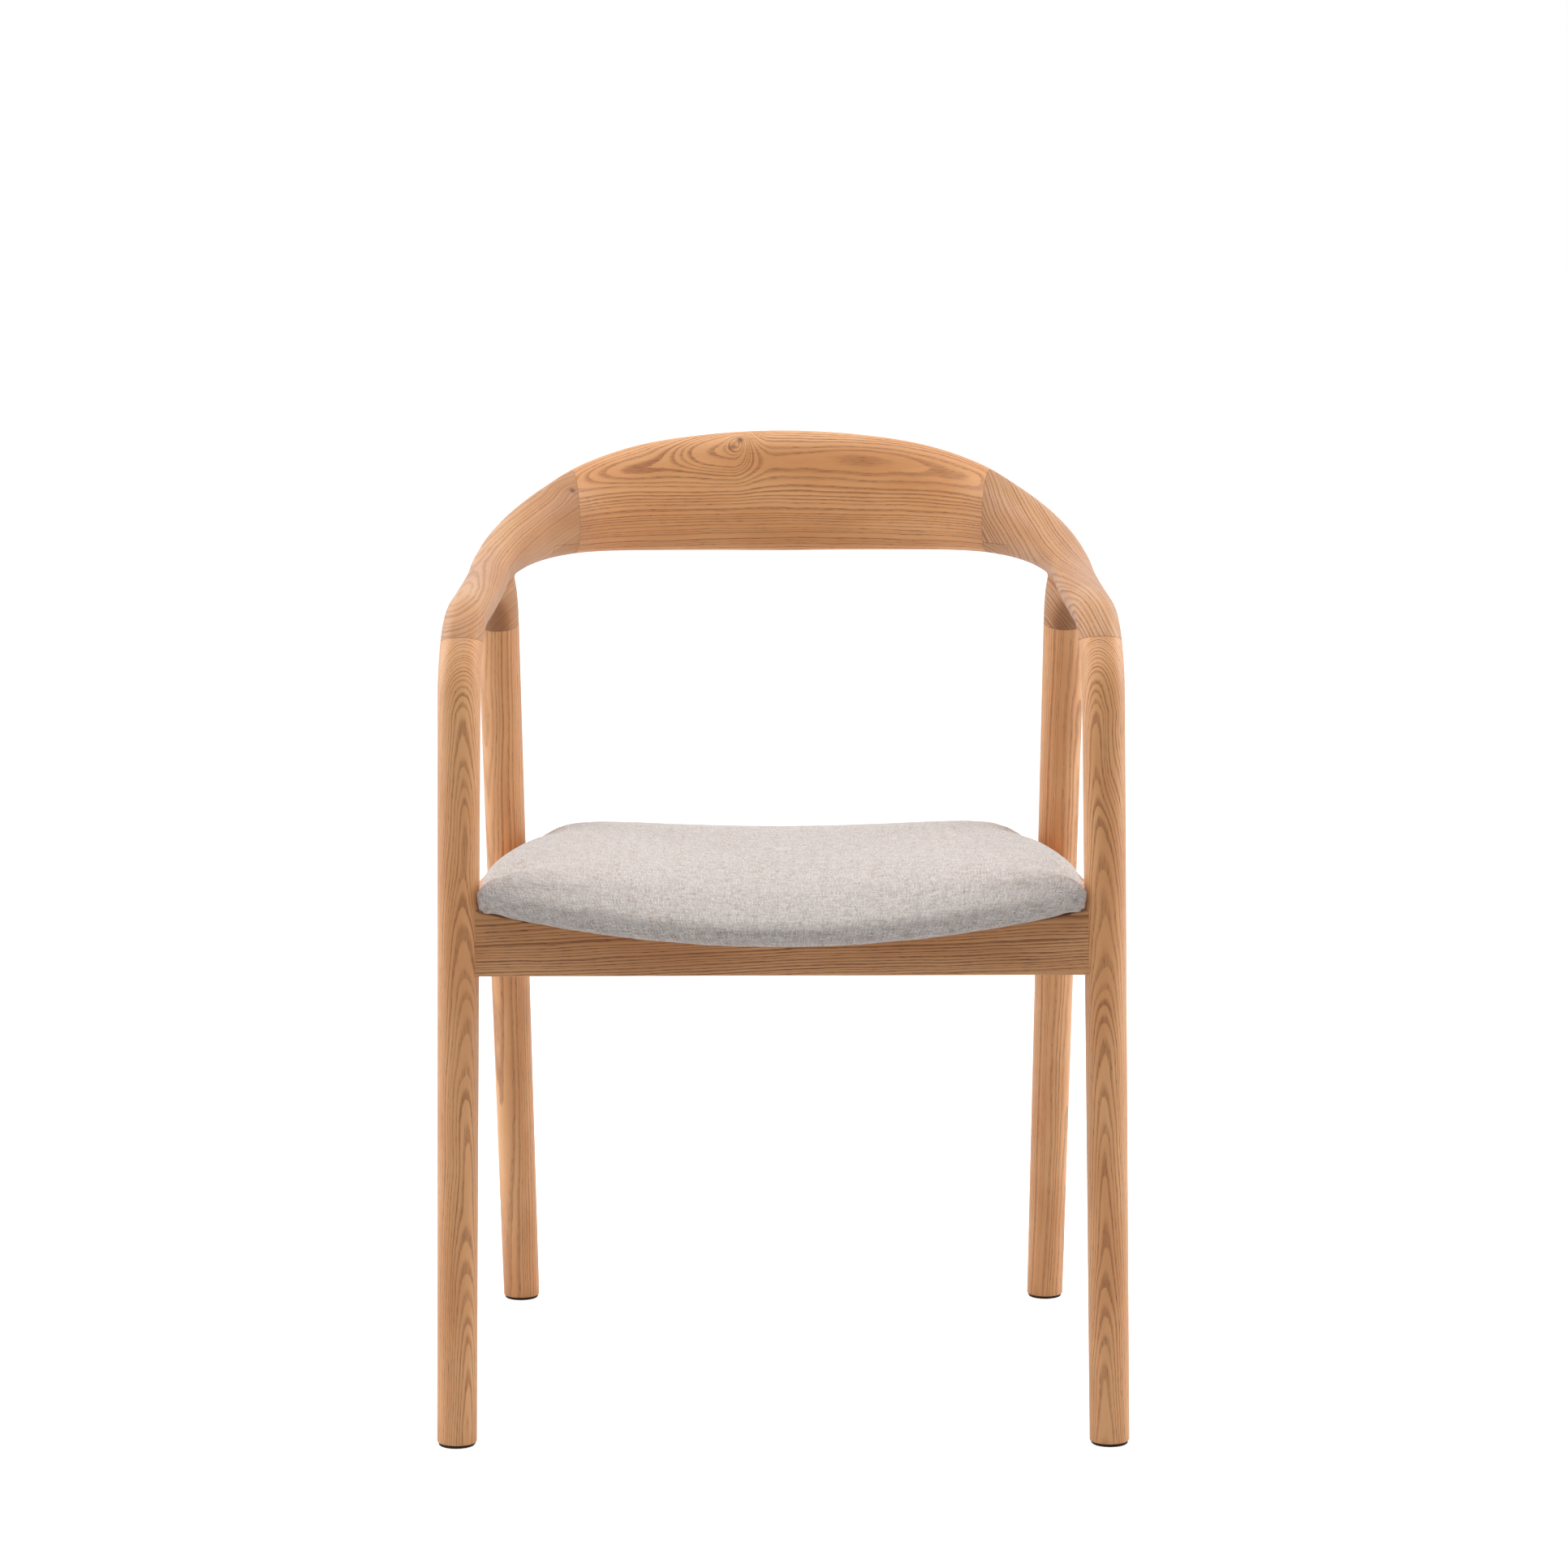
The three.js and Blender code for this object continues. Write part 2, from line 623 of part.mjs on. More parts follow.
// The dowels follow the curve of the crest, near the middle of its thickness
const backDowelAxis = new THREE.Vector3(Math.cos(BACK_DOWEL.yaw), -Math.sin(BACK_DOWEL.yaw), 0);
const acrossBackJoint = new THREE.Vector3(Math.sin(BACK_JOINT_YAW), Math.cos(BACK_JOINT_YAW), 0);
const backDowelMiddle = BACK_JOINT.clone().addScaledVector(acrossBackJoint, -BACK_DOWEL.inset);

function backDowel(row, extra) {
  const { radius, length, spacing } = BACK_DOWEL;
  const centre = above(backDowelMiddle, (row * spacing) / 2);
  const from = centre.clone().addScaledVector(backDowelAxis, -length / 2 - extra);
  const to = centre.clone().addScaledVector(backDowelAxis, length / 2 + extra);
  return rod(radius + extra, from, to);
}

function rearDowel(extra) {
  const { radius, length } = REAR_DOWEL;
  const from = REAR_TOP.clone().addScaledVector(rearAxis, -length / 2 - extra);
  const to = REAR_TOP.clone().addScaledVector(rearAxis, length / 2 + extra);
  return rod(radius + extra, from, to);
}

// Tenons of the rails, let into the legs
function crossTenon(legX, y, z, tilt, extra) {
  const inner = legX - RAIL_TENON.root;
  const outer = legX - RAIL_TENON.tip + extra;
  const size = [outer - inner, RAIL_TENON.thickness + 2 * extra, RAIL_TENON.height + 2 * extra];
  return block(size, new THREE.Vector3((inner + outer) / 2, y, z), new THREE.Euler(tilt, 0, 0));
}

function frontTenon(extra) {
  return crossTenon(frontLegX, 0, RAIL_TOP_Z - RAIL_HEIGHT / 2, 0, extra);
}

function rearTenon(extra) {
  return crossTenon(rearLegAtRail.x, rearLegAtRail.y, REAR_RAIL_MIDDLE_Z, rearRake, extra);
}

function withTenons(rail, tenon) {
  return rail.add(solid(tenon)).add(solid(mirrored(tenon)));
}

function sideTenon(extra) {
  const start = SIDE_TENON.frontTip - extra;
  const end = rearLegAtRail.y - SIDE_TENON.rearTip + extra;
  const size = [RAIL_TENON.thickness + 2 * extra, end - start, SIDE_TENON.height + 2 * extra];
  const middleY = (start + end) / 2;
  const middle = new THREE.Vector3(
    frontLegX - Math.tan(sideAngle) * middleY - SIDE_TENON.inset,
    middleY,
    sideRailTop - SIDE_RAIL_HEIGHT / 2 - SIDE_RAIL_FALL * middleY,
  );
  return block(size, middle, new THREE.Euler(-SIDE_RAIL_FALL, 0, sideAngle));
}

// Wooden frame
const crest = crestSolid();
const below = legJointNormal.clone().negate();
const rightHalf = halfSpace(new THREE.Vector3(), new THREE.Vector3(1, 0, 0), 0);
const frontLegBlank = crest.intersect(rightHalf).intersect(halfSpace(LEG_JOINT, below, GLUE_LINE));
const armBlank = crest
  .intersect(halfSpace(LEG_JOINT, legJointNormal, GLUE_LINE))
  .intersect(halfSpace(BACK_JOINT, backJointNormal, GLUE_LINE));
const legBack = halfSpace(BACK_JOINT, backJointNormal.clone().negate(), GLUE_LINE);
const mirrorJoint = new THREE.Vector3(-BACK_JOINT.x, BACK_JOINT.y, BACK_JOINT.z);
const mirrorNormal = new THREE.Vector3(backJointNormal.x, -backJointNormal.y, 0);
const backBlank = crest.intersect(legBack).intersect(halfSpace(mirrorJoint, mirrorNormal, GLUE_LINE));

const frontFoot = new THREE.Vector3(FRONT_FOOT_X, 0, FOOT_Z);
const holesForTenons = [solid(legTenon(GAP)), solid(frontTenon(GAP)), solid(sideTenon(GAP))];
const frontLeg = subtractAll(frontLegBlank, [...holesForTenons, nailHole(frontFoot)]);
addPair("front_leg", geometryOf(frontLeg), "ash");

const rearLegBlank = solid(loft(rearLegRings()));
const rearHoles = [solid(rearDowel(GAP)), solid(rearTenon(GAP)), solid(sideTenon(GAP)), nailHole(REAR_FOOT)];
addPair("rear_leg", geometryOf(subtractAll(rearLegBlank, rearHoles)), "ash");

// Arm, with its boss for the rear leg and a glued filler under its tall end
const boss = solid(loft(bossRings()));
const fillerMiddle = BACK_JOINT.clone().addScaledVector(backJointNormal, FILLER.length / 2 - FILLER.start);
const fillerZone = (extra) => {
  const size = [FILLER.length + 2 * extra, FILLER.depth, FILLER.height + 2 * extra];
  const centre = atHeight(fillerMiddle, FILLER.top - FILLER.height / 2);
  return solid(block(size, centre, new THREE.Euler(0, 0, -BACK_JOINT_YAW)));
};
const armHoles = [
  solid(legTenon(GAP)),
  solid(rearDowel(GAP)),
  solid(backDowel(1, GAP)),
  solid(backDowel(-1, GAP)),
];
addPair("arm", geometryOf(subtractAll(armBlank.add(boss), [...armHoles, fillerZone(GLUE_LINE)])), "ash");
addPair("arm_filler", geometryOf(armBlank.intersect(fillerZone(-GLUE_LINE))), "ash");

const mirroredDowels = [1, -1].map((row) => solid(mirrored(backDowel(row, GAP))));
const backHoles = [solid(backDowel(1, GAP)), solid(backDowel(-1, GAP)), ...mirroredDowels];
addPart("backrest", geometryOf(subtractAll(backBlank, backHoles)), "ash");

addPair("leg_tenon", legTenon(0), "ash");
addPair("rear_leg_dowel", rearDowel(0), "ash");
addPair("back_dowel_upper", backDowel(1, 0), "ash");
addPair("back_dowel_lower", backDowel(-1, 0), "ash");

// Rails, coped to the round legs, with tenons; corner blocks and fasteners
const frontCorner = makeCorner(false);
const rearCorner = makeCorner(true);
const frontLegRoom = crestSolid(GAP);
const rearLegRoom = solid(loft(rearLegRings(GAP)));
const leftRearLegRoom = solid(mirrored(loft(rearLegRings(GAP))));
const bothSides = (screw) => {
  const hole = geometryOf(screwHole(screw));
  return [solid(hole), solid(mirrored(hole))];
};

const frontRailBlank = crossRail({
  halfLength: frontLegX,
  bottom: RAIL_TOP_Z - RAIL_HEIGHT,
  endTop: RAIL_TOP_Z,
  middleTop: FRONT_RAIL_MIDDLE,
  middleY: RAIL_FRONT_Y + RAIL_THICKNESS / 2,
  tilt: 0,
});
const frontRail = withTenons(frontRailBlank.subtract(frontLegRoom), frontTenon(0));
addPart("front_rail", geometryOf(subtractAll(frontRail, bothSides(frontCorner.screws[0]))), "ash");

const rearRailShape = {
  halfLength: rearLegAtRail.x,
  bottom: REAR_RAIL_MIDDLE_Z - REAR_RAIL_HEIGHT / 2,
  endTop: REAR_RAIL_MIDDLE_Z + REAR_RAIL_HEIGHT / 2,
  middleTop: REAR_RAIL_MIDDLE,
  middleY: rearLegAtRail.y,
  tilt: rearRake,
};
const rearRailBlank = crossRail(rearRailShape);
const rearRailRoom = crossRail(rearRailShape, GAP);
const rearRail = withTenons(subtractAll(rearRailBlank, [rearLegRoom, leftRearLegRoom]), rearTenon(0));
addPart("rear_rail", geometryOf(subtractAll(rearRail, bothSides(rearCorner.screws[0]))), "ash");

const sideRailScrews = [frontCorner, rearCorner].map((corner) => screwHole(corner.screws[1]));
const sideRailBlank = subtractAll(sideRail(), [frontLegRoom, rearLegRoom, rearRailRoom]);
const sideRailBody = sideRailBlank.add(solid(sideTenon(0)));
addPair("side_rail", geometryOf(subtractAll(sideRailBody, sideRailScrews)), "ash");

const nutBases = [];
for (const [place, corner] of [["front", frontCorner], ["rear", rearCorner]]) {
  const [first, second] = corner.screws;
  const under = seatUnder(corner.bolt.x, corner.bolt.y);
  const nutBase = atHeight(corner.bolt, under + NUT_HEIGHT);
  const tip = under + NUT_HEIGHT + TEE_NUT.barrelHeight - 1;
  const holeTop = above(corner.bolt, BOLT_ROOM.above);
  const boltHole = solid(rod(BOLT.radius + GAP, above(corner.bolt, -BOLT_ROOM.below), holeTop, 12));
  const holes = [screwHole(first), screwHole(second), boltHole, rearRailRoom];
  addPair(`corner_block_${place}`, geometryOf(subtractAll(corner.body, holes)), "ash");
  addPair(`corner_screw_${place}_cross`, screwGeometry(first), "steel");
  addPair(`corner_screw_${place}_side`, screwGeometry(second), "steel");
  addPair(`seat_bolt_${place}`, boltGeometry(corner.bolt, tip), "steel");
  addPair(`tee_nut_${place}`, teeNutGeometry(nutBase), "steel");
  nutBases.push(nutBase);
}

// Seat
const pockets = nutBases.flatMap((base) => {
  const pocket = geometryOf(teeNutPocket(base));
  return [solid(pocket), solid(mirrored(pocket))];
});
addPart("seat_board", geometryOf(subtractAll(solid(boardGeometry()), pockets)), "plywood");
addPart("seat_foam", foamGeometry(), "foam");
addPart("seat_cover", coverGeometry(), "fabric");
const boltRooms = nutBases.flatMap((base) => {
  const radius = BOLT.radius + BOLT_ROOM.radius;
  const hole = rod(radius, above(base, -BOLT_ROOM.below), above(base, POCKET_ROOM), 12);
  return [solid(hole), solid(mirrored(hole))];
});
addPart("dust_cover", geometryOf(subtractAll(solid(linerGeometry()), boltRooms)), "liner");

// Feet
for (const [place, foot] of [["front", frontFoot], ["rear", REAR_FOOT]]) {
  addPair(`glide_${place}`, glideGeometry(foot), "glide");
  addPair(`glide_nail_${place}`, nailGeometry(foot), "steel");
}

// The origin is under the middle of the chair, on the floor
const extent = new THREE.Box3().setFromObject(chair);
chair.position.y = -(extent.min.y + extent.max.y) / 2;

export default chair;
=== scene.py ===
"""Looks for the ash armchair: smooth wooden pieces, an upholstered saddle seat, floor, light and camera.

Shapes are worked out in the part's own millimetres (x to the right, y behind the front legs, z up)
and placed in the row frame, in metres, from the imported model.
"""

import math

import bmesh
import bpy
import numpy as np
from mathutils import Matrix, Vector


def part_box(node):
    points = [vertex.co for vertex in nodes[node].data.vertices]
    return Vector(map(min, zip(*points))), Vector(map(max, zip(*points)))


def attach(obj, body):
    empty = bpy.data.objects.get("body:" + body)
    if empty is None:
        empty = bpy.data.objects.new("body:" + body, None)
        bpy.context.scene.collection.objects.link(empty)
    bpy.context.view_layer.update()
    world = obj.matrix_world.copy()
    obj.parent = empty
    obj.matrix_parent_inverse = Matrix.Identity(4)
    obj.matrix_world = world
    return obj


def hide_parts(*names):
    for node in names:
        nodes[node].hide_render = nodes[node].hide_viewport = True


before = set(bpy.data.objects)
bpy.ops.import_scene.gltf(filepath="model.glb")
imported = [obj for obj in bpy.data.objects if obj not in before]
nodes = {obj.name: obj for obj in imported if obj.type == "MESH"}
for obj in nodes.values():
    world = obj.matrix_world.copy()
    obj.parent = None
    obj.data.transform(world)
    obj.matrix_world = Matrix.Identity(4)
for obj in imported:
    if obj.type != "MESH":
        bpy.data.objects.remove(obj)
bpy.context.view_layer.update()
scene = bpy.context.scene

MM = 0.001


def box_middle(node):
    low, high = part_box(node)
    return (low + high) / 2


# The part's y is measured from the front legs' axis
FRONT_AXIS_Y = box_middle("glide_front_right").y / MM
FOOT_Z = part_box("front_leg_right")[0].z / MM
FRONT_FOOT_X = box_middle("glide_front_right").x / MM
REAR_GLIDE = box_middle("glide_rear_right") / MM
REAR_FOOT = np.array([REAR_GLIDE.x, REAR_GLIDE.y - FRONT_AXIS_Y, FOOT_Z])

# Crest: the bend over the front leg, then x, y, z, half thickness and half height of the sections
FRONT_FOOT_RADIUS = 16.3
BEND_X = 256.5
BEND_START_Z = 597
BEND_RADIUS = 73
BEND_TURNS = (0, 20, 40, 60, 78)
BAR_RADIUS = 17.1
ARM_TOE_IN = 0.052
CREST = [
    [250.6, 106, 674, 17.1, 17.1],
    [248.4, 160, 678, 17, 17],
    [246.6, 215, 682.5, 17, 17.4],
    [244.5, 262, 689.5, 16.8, 19],
    [236.5, 308, 699.5, 16.5, 21.8],
    [220, 352, 710.3, 16, 26],
    [197, 390, 719.5, 15.4, 31.5],
    [165, 422, 728.3, 14.8, 39.2],
    [118, 447, 735, 14.4, 46.8],
    [60, 463, 738.5, 14.1, 51.3],
    [0, 468, 739.5, 14, 53],
]
BACK_LEAN = 0.12
BACK_SQUARENESS = 0.6
FLAT_RATIO = 2.7
ROUND_SIDES = 96
STEPS_PER_SECTION = 10

# Joints
GLUE_LINE = 0.12
LEG_JOINT = np.array([256, 25, 652])
LEG_JOINT_TILT = 0.305
BACK_JOINT = np.array([184, 412, 725])
BACK_JOINT_YAW = 0.42
FILLER_LENGTH = 50
FILLER_START = 20
FILLER_DEPTH = 80
FILLER_HEIGHT = 40
FILLER_TOP = 699

# Arm and boss: the boss's steps are height up the leg's axis, then how much wider it is across and along
ARM_SWELL = 0.12
ARM_VOXEL = 1.4
ARM_SMOOTHING = 9
BOSS_STEPS = [[-6, 0, 0], [10, 0, 1], [20, -0.3, 3], [28, -0.8, 6.5], [34, -1.5, 11], [42, -3, 16]]

# Rear leg
REAR_FOOT_RADIUS = 16.2
REAR_TOP = np.array([242.5, 307, 638])
REAR_TOP_RADIUS = 17.7
FOOT_ROUNDING = 1.2
SHAFT_START = 10
SHAFT_END_GAP = 12
SHAFT_RINGS = 40
REAR_SHAFT = (0.03, 1.01, 50)
LEG_ROOM_RADIUS = 17.0
REAR_ROOM = 0.15

# Rails
RAIL_THICKNESS = 22
RAIL_FRONT_Y = -10
RAIL_HEIGHT = 59
RAIL_TOP_Z = 446
SIDE_RAIL_HEIGHT = 50
REAR_RAIL_MIDDLE_Z = 397
REAR_RAIL_HEIGHT = 56
SIDE_RAIL_THICKNESS = 24
SIDE_RAIL_INSET = 6
SIDE_RAIL_FALL = 0.04
RAIL_EDGE = 1.6
RAIL_EDGE_STEPS = 6
RAIL_SHOULDER = 14
RAIL_RINGS = 91
RAIL_LEG_Z = 412
SIDE_RAIL_SEAT_X = 236
SIDE_RAIL_GAP = 1.2
SIDE_RAIL_START_GAP = 1
SIDE_RAIL_RINGS = 60
FRONT_RAIL_DIP_Z = 412.8
REAR_RAIL_DIP_Z = 404

# Seat
SEAT_UNDER_Z = 415
SEAT_DISH = 27
SEAT_DISH_FADE = 0.028
SEAT_HALF_WIDTH = 245
SEAT_FALL = 0.012
SEAT_CENTRE_Y = 200
SEAT_EDGE_Z = 11
SEAT_CROWN = 32
SEAT_LOW = -1.6
SEAT_HOLLOW_Z = 6
SEAT_FULLNESS = 5.0
SEAT_FRONT_FULLNESS = 1.9
SEAT_FRONT_FADE = 3.5
SEAT_INSET = 1.0
SEAT_VOXEL = 4.0
SEAT_HELD_Z = 5
SEAT_PRESSURE = 4.0
SEAT_FRAMES = 20
SEAT_SWELL = 2.5
SEAT_EDGE_POINTS = 360
FOLD_TIP = (238.0, -12.0)
FOLD_COUNT = 11
FOLD_DEPTH = 0.9
FOLD_REACH = 26.0
SEAT_OUTLINE = [
    [0, -38], [70, -37], [140, -33], [200, -27], [234, -21.5], [245.6, -15.5], [239.6, -1],
    [239.6, 19], [244.5, 42], [247, 75], [246.5, 130], [243, 190], [237, 250], [229, 305],
    [221, 345], [217.5, 378], [206, 408], [176, 428], [120, 437], [60, 440],
]


# ---------------------------------------------------------------- meshes

def to_row(points):
    """The part's millimetres to the row frame's metres."""
    moved = np.array(points, float)
    moved[:, 1] += FRONT_AXIS_Y
    return moved * MM


def new_object(name, points, faces):
    mesh = bpy.data.meshes.new(name)
    mesh.from_pydata([tuple(p) for p in to_row(points)], [], [tuple(f) for f in faces])
    mesh.validate()
    made = bpy.data.objects.new(name, mesh)
    scene.collection.objects.link(made)
    return made


def loft(name, rings):
    """A closed body through rings of equal length, with one flat face at each end."""
    count = len(rings[0])
    points = np.concatenate(rings)
    faces = []
    for i in range(len(rings) - 1):
        for j in range(count):
            a = i * count + j
            b = i * count + (j + 1) % count
            faces.append((a, b, b + count, a + count))
    faces.append(tuple(reversed(range(count))))
    faces.append(tuple(range(len(points) - count, len(points))))
    made = new_object(name, points, faces)
    outward(made)
    return made


def outward(piece):
    """Turns every face of a closed mesh to the outside."""
    work = bmesh.new()
    work.from_mesh(piece.data)
    bmesh.ops.recalc_face_normals(work, faces=work.faces)
    if work.calc_volume(signed=True) < 0:
        bmesh.ops.reverse_faces(work, faces=work.faces)
    work.to_mesh(piece.data)
    work.free()


def cut(piece, point, normal, clearance=0):
    """Removes what lies beyond a plane, towards its normal, and closes the cut."""
    normal = np.array(normal, float) / np.linalg.norm(normal)
    place = tuple(to_row([np.array(point, float) - normal * clearance])[0])
    work = bmesh.new()
    work.from_mesh(piece.data)
    everything = work.verts[:] + work.edges[:] + work.faces[:]
    bmesh.ops.bisect_plane(
        work, geom=everything, dist=1e-6, plane_co=place, plane_no=tuple(normal), clear_outer=True)
    edges = [edge for edge in work.edges if edge.is_boundary]
    bmesh.ops.holes_fill(work, edges=edges, sides=0)
    work.to_mesh(piece.data)
    work.free()
    outward(piece)


def apply_modifiers(piece):
    evaluated = piece.evaluated_get(bpy.context.evaluated_depsgraph_get())
    mesh = bpy.data.meshes.new_from_object(evaluated)
    piece.modifiers.clear()
    old = piece.data
    piece.data = mesh
    mesh.name = piece.name
    bpy.data.meshes.remove(old)


def combine(piece, operation, tool):
    """Adds, takes away or keeps the common part of another body, which is used up."""
    change = piece.modifiers.new("combine", "BOOLEAN")
    change.operation = operation
    change.object = tool
    change.solver = "EXACT"
    apply_modifiers(piece)
    bpy.data.objects.remove(tool)


def remesh(piece, voxel, smoothing):
    change = piece.modifiers.new("remesh", "REMESH")
    change.mode = "VOXEL"
    change.voxel_size = voxel * MM
    soften = piece.modifiers.new("soften", "SMOOTH")
    soften.factor = 0.5
    soften.iterations = smoothing
    apply_modifiers(piece)


def joined(name, *parts):
    """One object from several, without joining their surfaces."""
    work = bmesh.new()
    for part in parts:
        work.from_mesh(part.data)
    mesh = bpy.data.meshes.new(name)
    work.to_mesh(mesh)
    work.free()
    for part in parts:
        bpy.data.objects.remove(part)
    made = bpy.data.objects.new(name, mesh)
    scene.collection.objects.link(made)
    return made


def mirrored(piece, name):
    """The left-hand twin of a right-hand piece."""
    made = bpy.data.objects.new(name, piece.data.copy())
    scene.collection.objects.link(made)
    made.data.transform(Matrix.Scale(-1, 4, (1, 0, 0)))
    made.data.flip_normals()
    return made


def copied(piece, name):
    made = bpy.data.objects.new(name, piece.data.copy())
    scene.collection.objects.link(made)
    return made


def shade(piece, sharp_degrees=35):
    piece.data.shade_smooth()
    piece.data.set_sharp_from_angle(angle=math.radians(sharp_degrees))


def box_object(name, size, centre, yaw=0.0):
    corners = np.array([[x, y, z] for x in (-0.5, 0.5) for y in (-0.5, 0.5) for z in (-0.5, 0.5)]) * size
    turn = np.array(Matrix.Rotation(yaw, 3, "Z"))
    points = corners @ turn.T + centre
    faces = [(0, 1, 3, 2), (4, 6, 7, 5), (0, 4, 5, 1), (2, 3, 7, 6), (0, 2, 6, 4), (1, 5, 7, 3)]
    made = new_object(name, points, faces)
    outward(made)
    return made


# ---------------------------------------------------------------- curves and sections

def unit(vector):
    vector = np.array(vector, float)
    return vector / np.linalg.norm(vector)


def catmull_rom(points, t, closed=False):
    """A centripetal Catmull-Rom curve at t, from 0 to 1; the steps between its points are measured in the
    first three columns.
    """
    points = np.array(points, float)
    count = len(points)
    place = t * (count if closed else count - 1)
    index = min(int(place), count - 1 if closed else count - 2)
    w = place - index
    if closed:
        p0, p1, p2, p3 = (points[(index + k) % count] for k in (-1, 0, 1, 2))
    else:
        p1, p2 = points[index], points[index + 1]
        p0 = points[index - 1] if index > 0 else 2 * p1 - p2
        p3 = points[index + 2] if index + 2 < count else 2 * p2 - p1
    d0, d1, d2 = (np.linalg.norm((b - a)[:3]) ** 0.5 for a, b in ((p0, p1), (p1, p2), (p2, p3)))
    start = ((p1 - p0) / d0 - (p2 - p0) / (d0 + d1) + (p2 - p1) / d1) * d1
    end = ((p2 - p1) / d1 - (p3 - p1) / (d1 + d2) + (p3 - p2) / d2) * d1
    return (p1 + start * w + (3 * (p2 - p1) - 2 * start - end) * w ** 2
            + (2 * (p1 - p2) + start + end) * w ** 3)


def ring(centre, axis_a, axis_b, half_a, half_b, squareness=2.0):
    angles = np.linspace(0, 2 * math.pi, ROUND_SIDES, endpoint=False)
    power = 2 / squareness
    a = np.sign(np.cos(angles)) * np.abs(np.cos(angles)) ** power * half_a
    b = np.sign(np.sin(angles)) * np.abs(np.sin(angles)) ** power * half_b
    return np.array(centre) + np.outer(a, axis_a) + np.outer(b, axis_b)


def crest_stations():
    bend = []
    for degrees in BEND_TURNS:
        turn = math.radians(degrees)
        y = BEND_RADIUS * (1 - math.cos(turn))
        z = BEND_START_Z + BEND_RADIUS * math.sin(turn)
        bend.append([BEND_X - ARM_TOE_IN * y, y, z, BAR_RADIUS, BAR_RADIUS])
    right = bend + CREST
    left = [[-x, *rest] for x, *rest in reversed(right[:-1])]
    return np.array(right + left, float)


STATIONS = crest_stations()
SECTIONS = len(STATIONS) - 1
MIDDLE_SECTION = SECTIONS // 2


def crest_ring(t, extra=0.0):
    here = catmull_rom(STATIONS, t)
    step = 1e-4
    ahead = catmull_rom(STATIONS, min(1, t + step))[:3]
    behind = catmull_rom(STATIONS, max(0, t - step))[:3]
    tangent = unit(ahead - behind)
    centre, thick, high = here[:3], here[3], here[4]
    if centre[1] < BEND_RADIUS:
        plan = np.array([-ARM_TOE_IN, 1 if t < 0.5 else -1])
    else:
        plan = tangent[:2]
    out = unit([plan[1], -plan[0], 0])
    crown = unit(np.cross(out, tangent))
    flat = min(1, max(0, (high / thick - 1) / FLAT_RATIO))
    crown = unit(crown + out * BACK_LEAN * flat)
    return ring(centre, out, crown, thick + extra, high + extra, 2 + BACK_SQUARENESS * flat)


def crest_rings(first, last, extra=0.0):
    """The crest's rings from one station to another, counted from the right-hand bend."""
    places = np.linspace(first, last, int(round((last - first) * STEPS_PER_SECTION)) + 1)
    return [crest_ring(place / SECTIONS, extra) for place in places]


def rounded_foot(ring_at):
    """Rings of a foot with a small rounding, given a function of height and inset."""
    rings = []
    for degrees in (0, 22, 45, 67, 90):
        turn = math.radians(degrees)
        inset = FOOT_ROUNDING * (1 - math.sin(turn))
        rings.append(ring_at(FOOT_ROUNDING * (1 - math.cos(turn)), inset))
    return rings


LEG_NORMAL = np.array([0, math.sin(LEG_JOINT_TILT), math.cos(LEG_JOINT_TILT)])
BACK_NORMAL = np.array([math.cos(BACK_JOINT_YAW), -math.sin(BACK_JOINT_YAW), 0])
REAR_AXIS = unit(REAR_TOP - REAR_FOOT)
ACROSS = np.array([1.0, 0, 0])
REAR_ALONG = unit(np.cross(REAR_AXIS, ACROSS))
LEG_SECTION = 3
BACK_SECTION = 10


# ---------------------------------------------------------------- wooden pieces

def front_leg():
    top = crest_rings(0, LEG_SECTION)

    def ring_at(height, inset):
        share = height / (BEND_START_Z - FOOT_Z)
        centre = [FRONT_FOOT_X + (BEND_X - FRONT_FOOT_X) * share, 0, FOOT_Z + height]
        radius = FRONT_FOOT_RADIUS + (BAR_RADIUS - FRONT_FOOT_RADIUS) * share - inset
        return ring(centre, unit([1, ARM_TOE_IN, 0]), [0, -1, 0], radius, radius)

    foot = rounded_foot(ring_at)
    shaft_end = BEND_START_Z - FOOT_Z - SHAFT_END_GAP
    shaft = [ring_at(height, 0) for height in np.linspace(SHAFT_START, shaft_end, SHAFT_RINGS)]
    leg = loft("front_leg", foot + shaft + top)
    cut(leg, LEG_JOINT, LEG_NORMAL, GLUE_LINE)
    return leg


def rear_leg_ring(share, extra=0.0, level=False):
    centre = REAR_FOOT + (REAR_TOP - REAR_FOOT) * share
    radius = REAR_FOOT_RADIUS + (REAR_TOP_RADIUS - REAR_FOOT_RADIUS) * share + extra
    if level:
        along = [0, math.copysign(1, REAR_ALONG[1]), 0]
        return ring(centre, ACROSS, along, radius, radius / REAR_AXIS[2])
    return ring(centre, ACROSS, REAR_ALONG, radius, radius)


def rear_leg():
    height = REAR_TOP[2] - REAR_FOOT[2]
    foot = rounded_foot(lambda rise, inset: rear_leg_ring(rise / height, -inset, level=True))
    shaft = [rear_leg_ring(share) for share in np.linspace(*REAR_SHAFT)]
    leg = loft("rear_leg", foot + shaft)
    cut(leg, REAR_TOP, REAR_AXIS, GLUE_LINE)
    return leg


